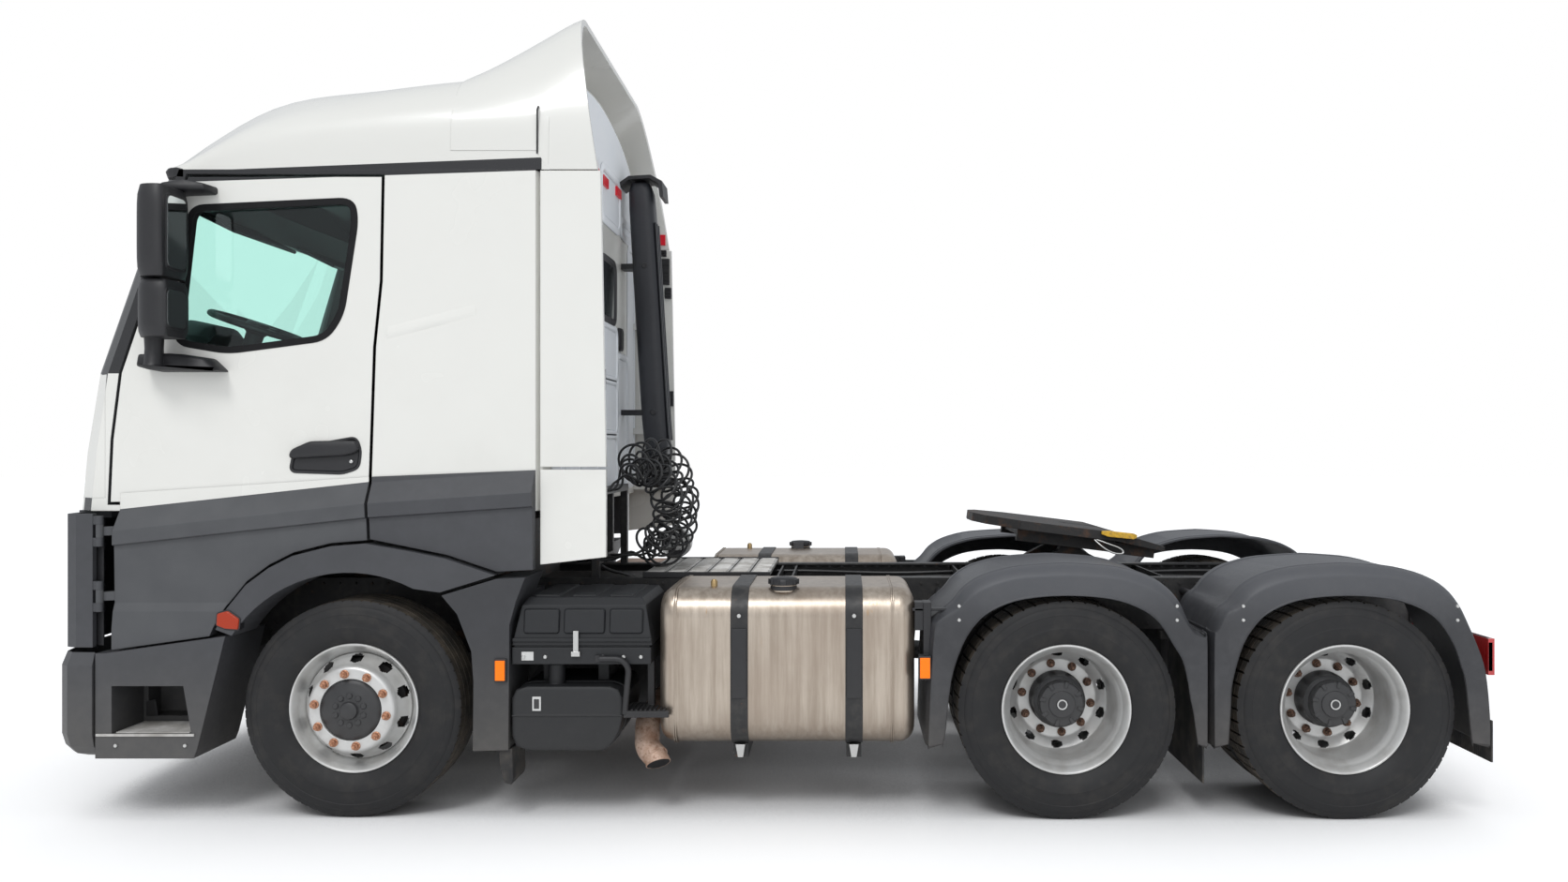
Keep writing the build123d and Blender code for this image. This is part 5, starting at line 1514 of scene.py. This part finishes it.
class TRACTOR_OT_walkway(Maker, bpy.types.Operator):
    """Ribbed planks of the walkway and their edges"""

    bl_idname = "tractor.walkway"
    bl_label = "Walkway"

    def make(self, s):
        shape = Shape()
        for x1 in range(-1216, -1777, -112):
            x0 = max(x1 - 104, -1884)
            shape.box(x0, x1, -428, 428, 1036, 1052)
            for y in range(-400, 381, 60):
                shape.rib(x0 + 10, x1 - 10, y, y + 26, 1052, 5, (3, 4))
        shape.box(-1884, -1216, 420, 432, 1031, 1060, 1)
        shape.box(-1884, -1216, -432, -420, 1031, 1060, 1)
        shape.box(-1880, -1220, -415, 415, 1031, 1036, 1)
        shape.place("walkway", "chassis", "aluminium_plain black", bevel=1, replaces=["catwalk"])


class TRACTOR_OT_frame_fittings(Maker, bpy.types.Operator):
    """Bolt rows, air lines, valve blocks and a filter cup on the frame"""

    bl_idname = "tractor.frame_fittings"
    bl_label = "Frame fittings"

    def make(self, s):
        shape = Shape()
        for k in range(74):
            for z in (790, 1000):
                shape.lathe([(0, 431), (8, 431), (9, 424)], (-5230 + k * 85, 0, z), "y", 6, 0, soft=False)
        for k in range(60):
            shape.lathe([(0, 344.2), (6, 344.2)], (-5200 + k * 70, 0, 1012), "y", 8, 3, soft=False)
        shape.both_sides()
        for x, z in ((-2905, 1048), (-2960, 1048), (-3010, 1044)):
            shape.lathe([(0, z + 20), (10, z + 20), (13, z + 6), (22, z + 4), (22, 1030)], (x, 380, 0), "z", 12)
        for x in (-2470, -2540):
            shape.box(x, x - 46, 250, 330, 900, 1000, 1)
        x, y, z = -1264, -470, 1144
        shape.lathe([(0, 40), (20, 40), (24, 34), (46, 32), (50, 24), (78, 20), (88, 26), (92, 22), (92, -60),
                     (60, -80), (0, -80)], (x, y, z), "y", 44, 2)
        for a in turns(6):
            bolt = (x + 63 * math.cos(a), y, z + 63 * math.sin(a))
            shape.lathe([(0, 27), (12, 27), (13, 20)], bolt, "y", 12, 3)
        shape.box(-1240, -1290, -480, -425, 1031, 1100, 1)
        shape.place("frame_fittings", "chassis", "cast_iron black rim_silver black", sharp=40)
        for k, (y, z, r) in enumerate(AIR_LINES):
            line = [at(-1300 - 250 * j, y + 10 * math.sin(j * 1.9 + k), z + 8 * math.cos(j * 1.3 + k))
                    for j in range(15)]
            curve(f"air_line_{k}", line, r, "chassis", "hose")
        feed = [at(-968, 330, 1090), at(-1010, 345, 1060), at(-1130, 350, 1040), at(-1210, 330, 1000)]
        curve("rack_feed", feed, 9, "chassis", "hose")


COUPLING = Vector((-3498, 0, 1236))  # the coupling's trunnion axis
# Sections of the release handle: x, then y and z from and to.
HANDLE = ((-118, 452, 470, 40, 56), (-150, 450, 486, 32, 62), (-285, 440, 480, 34, 64),
          (-305, 438, 462, 42, 58))
HANDLE_LOOP = ((-90, 440, 6), (-130, 466, -28), (-190, 480, -52), (-245, 476, -48), (-232, 470, -22),
               (-170, 462, -8), (-100, 440, 8))


class TRACTOR_OT_coupling(Maker, bpy.types.Operator):
    """Fifth wheel fittings: jaws, release handle, bolts and pins"""

    bl_idname = "tractor.coupling"
    bl_label = "Coupling"

    def make(self, s):
        tilt = Matrix.Rotation(math.radians(-7), 4, "Y")
        put = lambda v: tuple(tilt @ Vector(v) + COUPLING)
        # jaws beside the throat
        shape = Shape()
        jaw = [(-150, 14), (-150, 40), (60, 40), (60, 14)]
        shape.stack(jaw, "y", ((0, 34), (0, 60)))
        shape.stack(jaw, "y", ((0, -60), (0, -34)))
        # wire loop and pull handle at the side
        shape.rings([[(x, y0, z0), (x, y0, z1), (x, y1, z1), (x, y1, z0)] for x, y0, y1, z0, z1 in HANDLE], 1,
                    soft=False)
        shape.copies([put])
        shape.place("coupling_parts", "fifth_wheel", "cast_iron yellow", bevel=3)
        curve("coupling_loop", [at(*put(v)) for v in HANDLE_LOOP], 5, "fifth_wheel", "steel_bright")
        shape = Shape()
        for sign in (1, -1):
            for x in (-240, -160, 160, 240):
                shape.lathe([(0, 1066), (11, 1066), (14, 1056), (24, 1054), (24, 1051)],
                            (COUPLING.x + x, sign * 390, 0), "z", 8, 0, soft=False)
            shape.lathe([(0, sign * 300), (22, sign * 300), (24, sign * 284), (24, sign * 236)],
                        (COUPLING.x, 0, COUPLING.z), "y", 20)
        shape.place("coupling_bolts", "chassis", "steel_bright")


class TRACTOR_OT_front(Maker, bpy.types.Operator):
    """Arch lamps, grille screens and wipers"""

    bl_idname = "tractor.front"
    bl_label = "Front end"

    def make(self, s):
        shape = Shape()
        lamp = rounded([(600, 900), (596, 955), (548, 968), (494, 930), (500, 880), (560, 884)], 8)
        shape.stack(lamp, "y", ((6, 1200), (5, 1238)), 1)
        shape.stack(lamp, "y", ((0, 1230), (-2, 1244), (-6, 1246)), 0)
        shape.both_sides()
        # screens behind the grille's slots and in the groove beside each door
        shape.box(1346, 1352, -860, 860, 800, 1380, 1)
        screen = [(1352, 860), (1346, 860), (1312, 1005), (1268, 1166), (1150, 1178), (1150, 1186),
                  (1274, 1176), (1320, 1008)]
        for sign in (1, -1):
            shape.rings([lay(screen, "z", z, sign) for z in (800, 1380)], 1, soft=False)
        for z in range(881, 1282, 100):
            for y in range(-860, 861, 60):
                shape.box(1384, 1392, y - 4, y + 4, z - 30, z + 30, 1)
        shape.place("front_details", "cab", "amber_red black", sharp=40)
        # wiper arms parked along the foot of the screen
        shape = Shape()
        for sign in (1, -1):
            sections = ((rect(1318 - k * 3, 1326 - k * 3, 2078 + k * 6, 2096 + k * 6), 80 + k * 110)
                        for k in range(8))
            shape.rings([lay(outline, "y", y, sign) for outline, y in sections], 0, soft=False)
        shape.place("wipers", "cab", "black", bevel=1)


class TRACTOR_OT_seats(Maker, bpy.types.Operator):
    """Seats and bunk seen through the glass"""

    bl_idname = "tractor.seats"
    bl_label = "Seats and bunk"

    def cushion(self, name, x0, x1, y0, y1, z0, z1, paint, lean=0.0, fill=0.7):
        shape, rows = Shape(), []
        xm, zm = (x0 + x1) / 2, (z0 + z1) / 2
        outline = rounded(rect(x0, x1, z0, z1), min(x1 - x0, z1 - z0) * 0.42)
        for t in (k / 6 for k in range(7)):
            edge = 0.86 + 0.14 * math.sin(math.pi * min(max(t, 0.04), 0.96)) ** 0.4
            rows.append([(xm + (x - xm) * edge + lean * (z - z0), y0 + (y1 - y0) * t, zm + (z - zm) * edge)
                         for x, z in outline])
        obj = shape.rings(rows).place(name, "cab", paint, sharp=80, levels=1)
        return obj

    def make(self, s):
        for side, sign in SIDES:
            y = sign * 560
            base = Shape().box(80, 520, y - 170, y + 170, 1472, 1740).box(40, 540, y - 190, y + 190, 1735, 1765)
            base.place(f"seat_base_{side}", "cab", "dash_grey", bevel=12)
            self.cushion(f"seat_cushion_{side}", 20, 560, y - 255, y + 255, 1765, 1905, "cloth")
            self.cushion(f"seat_back_{side}", 20, 145, y - 245, y + 245, 1890, 2590, "cloth", lean=-0.19)
            self.cushion(f"seat_rest_{side}", -128, -28, y - 145, y + 145, 2590, 2780, "cloth", lean=-0.15)
        bunk = self.cushion("bunk_mattress", -838, -180, -1030, 1030, 1860, 1998, "cloth", fill=0.6)
        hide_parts("seats")
        Shape().box(-830, -230, -1030, 1030, 1472, 1856).place("bunk_base", "cab", "dash_grey", bevel=15)


class TRACTOR_OT_steering_wheel(Maker, bpy.types.Operator):
    """Steering wheel with its spokes and column"""

    bl_idname = "tractor.steering_wheel"
    bl_label = "Steering wheel"

    def make(self, s):
        tilt = Matrix.Rotation(math.radians(-19), 4, "Y")
        put = lambda v: tuple(tilt @ Vector(v) + Vector((745, 560, 2335)))
        shape = Shape()
        rim, grip = 225, 16
        shape.rings([[((rim + grip * math.cos(b)) * math.cos(a), (rim + grip * math.cos(b)) * math.sin(a),
                       grip * math.sin(b)) for b in turns(10)] for a in turns(48)], round_=True)
        shape.lathe([(0, 24), (52, 22), (62, 4), (60, -24), (44, -40), (40, -200), (48, -440), (0, -440)],
                    (0, 0, 0), "z", 28)
        for a in (0.35, math.pi - 0.35, -math.pi / 2):
            u, v = math.cos(a), math.sin(a)
            spoke = ((-18, -8), (18, -8), (14, 8), (-14, 8))
            shape.rings([[(r * u - w * v, r * v + w * u, h) for w, h in spoke] for r in (50, 214)], 0,
                        soft=False)
        shape.copies([put])
        shape.place("wheel_rim", "cab", "black", sharp=40, replaces=["steering_wheel"])


class TRACTOR_OT_dash(Maker, bpy.types.Operator):
    """Dash top and instrument hood, header and pillar linings, folded-down visors"""

    bl_idname = "tractor.dash"
    bl_label = "Dash and linings"

    def make(self, s):
        screen = smooth(CAB_FRONT, 4)
        inner = lambda y, z, d: read(screen, abs(y)) + (ROOF_SEAM - z) * RAKE - d
        shape = Shape()
        shape.rings([[(inner(y, z, d), y, z) for z, d in ((2040, 80), (2190, 80), (2235, 120))] +
                     [(960, y, 2222), (915, y, 2170), (905, y, 2040)] for y in range(-1000, 1001, 100)])
        hood = []
        for k in range(11):
            y, swell = 370 + 38 * k, 1 - abs(k / 5 - 1) ** 4 * 0.5
            section = ((1070, 0), (1076, 150), (1050, 166), (905, 134), (886, 100), (940, 0))
            hood.append([(x, y, 2200 + up * swell) for x, up in section])
        shape.rings(hood)
        shape.rings([[(inner(y, z, d), y, z) for z, d in ((2996, 66), (2868, 66), (2868, 100), (2996, 130))]
                     for y in range(-1060, 1061, 53)], soft=False)
        for sign in (1, -1):
            shape.rings([[(inner(y, z, 64), sign * y, z) for y in (1062, 960, w)] +
                         [(inner(y, z, 86), sign * y, z) for y in (w, 960, 1062)]
                         for z, w in ((2996, 840), (2868, 850), (2400, 905), (2130, 915))], 0, soft=False)
        visor = rounded([(948, 2884), (700, 2762), (690, 2776), (938, 2900)], 5, 3)
        for y0, y1 in ((240, 880), (-880, -240)):
            shape.stack(visor, "y", ((0, y0), (0, y1)), 1)
        shape.place("dash_top", "cab", "dash_grey black", sharp=40)


class TRACTOR_OT_rear(Maker, bpy.types.Operator):
    """Tail lamps with their carriers, and the flaps ahead of the rear wheels"""

    bl_idname = "tractor.rear"
    bl_label = "Rear end"

    def make(self, s):
        shape = Shape()
        shape.stack(rounded(rect(830, 1174, 668, 824), 14), "x", ((0, -5268), (0, -5282)), 0)
        shape.stack(rounded(rect(822, 1180, 662, 830), 18), "x", ((0, -5257), (0, -5276)), 1)
        shape.box(-5257, -5262, 440, 830, 768, 812, 1)
        for y in (900, 980, 1060, 1140):
            shape.box(-5283, -5284, y, y + 5, 672, 820, 1)
        shape.both_sides()
        shape.place("tail_lamps", "chassis", "red_lens black", bevel=1.5)
        flap = [(-690, 330), (-748, 330), (-752, 190), (-744, 165), (-716, 172), (-692, 250)]
        shape = Shape().stack(flap, "y", [(0, y) for y in (1000, 1006, 1214, 1220)])
        shape.both_sides()
        shape.place("front_flaps", "chassis", "flap")


class TRACTOR_PT_panel(bpy.types.Panel):
    """Lists the operators and the settings"""

    bl_label = "Tractor unit"
    bl_idname = "TRACTOR_PT_panel"
    bl_space_type = "VIEW_3D"
    bl_region_type = "UI"
    bl_category = "Tractor"

    def draw(self, context):
        for cls in OPERATORS:
            self.layout.operator(cls.bl_idname)
        for name in TRACTOR_PG_settings.__annotations__:
            self.layout.prop(context.scene.tractor, name)


OPERATORS = (TRACTOR_OT_stage, TRACTOR_OT_hoses, TRACTOR_OT_paint, TRACTOR_OT_tyres, TRACTOR_OT_rims,
             TRACTOR_OT_roof, TRACTOR_OT_deflector, TRACTOR_OT_roof_trim, TRACTOR_OT_door_trim,
             TRACTOR_OT_mirrors, TRACTOR_OT_fenders, TRACTOR_OT_tanks, TRACTOR_OT_side_boxes,
             TRACTOR_OT_steps, TRACTOR_OT_exhaust, TRACTOR_OT_side_plates, TRACTOR_OT_rear_wall,
             TRACTOR_OT_intake, TRACTOR_OT_fairing_marks, TRACTOR_OT_walkway, TRACTOR_OT_frame_fittings,
             TRACTOR_OT_coupling, TRACTOR_OT_front, TRACTOR_OT_seats, TRACTOR_OT_steering_wheel,
             TRACTOR_OT_dash, TRACTOR_OT_rear)
CLASSES = (TRACTOR_PG_settings, *OPERATORS, TRACTOR_PT_panel)


def register():
    for cls in CLASSES:
        bpy.utils.register_class(cls)
    bpy.types.Scene.tractor = PointerProperty(type=TRACTOR_PG_settings)


def unregister():
    del bpy.types.Scene.tractor
    for cls in reversed(CLASSES):
        bpy.utils.unregister_class(cls)


def main():
    register()
    for cls in OPERATORS:
        getattr(bpy.ops.tractor, cls.bl_idname.split(".")[1])()


if __name__ == "__main__":
    main()
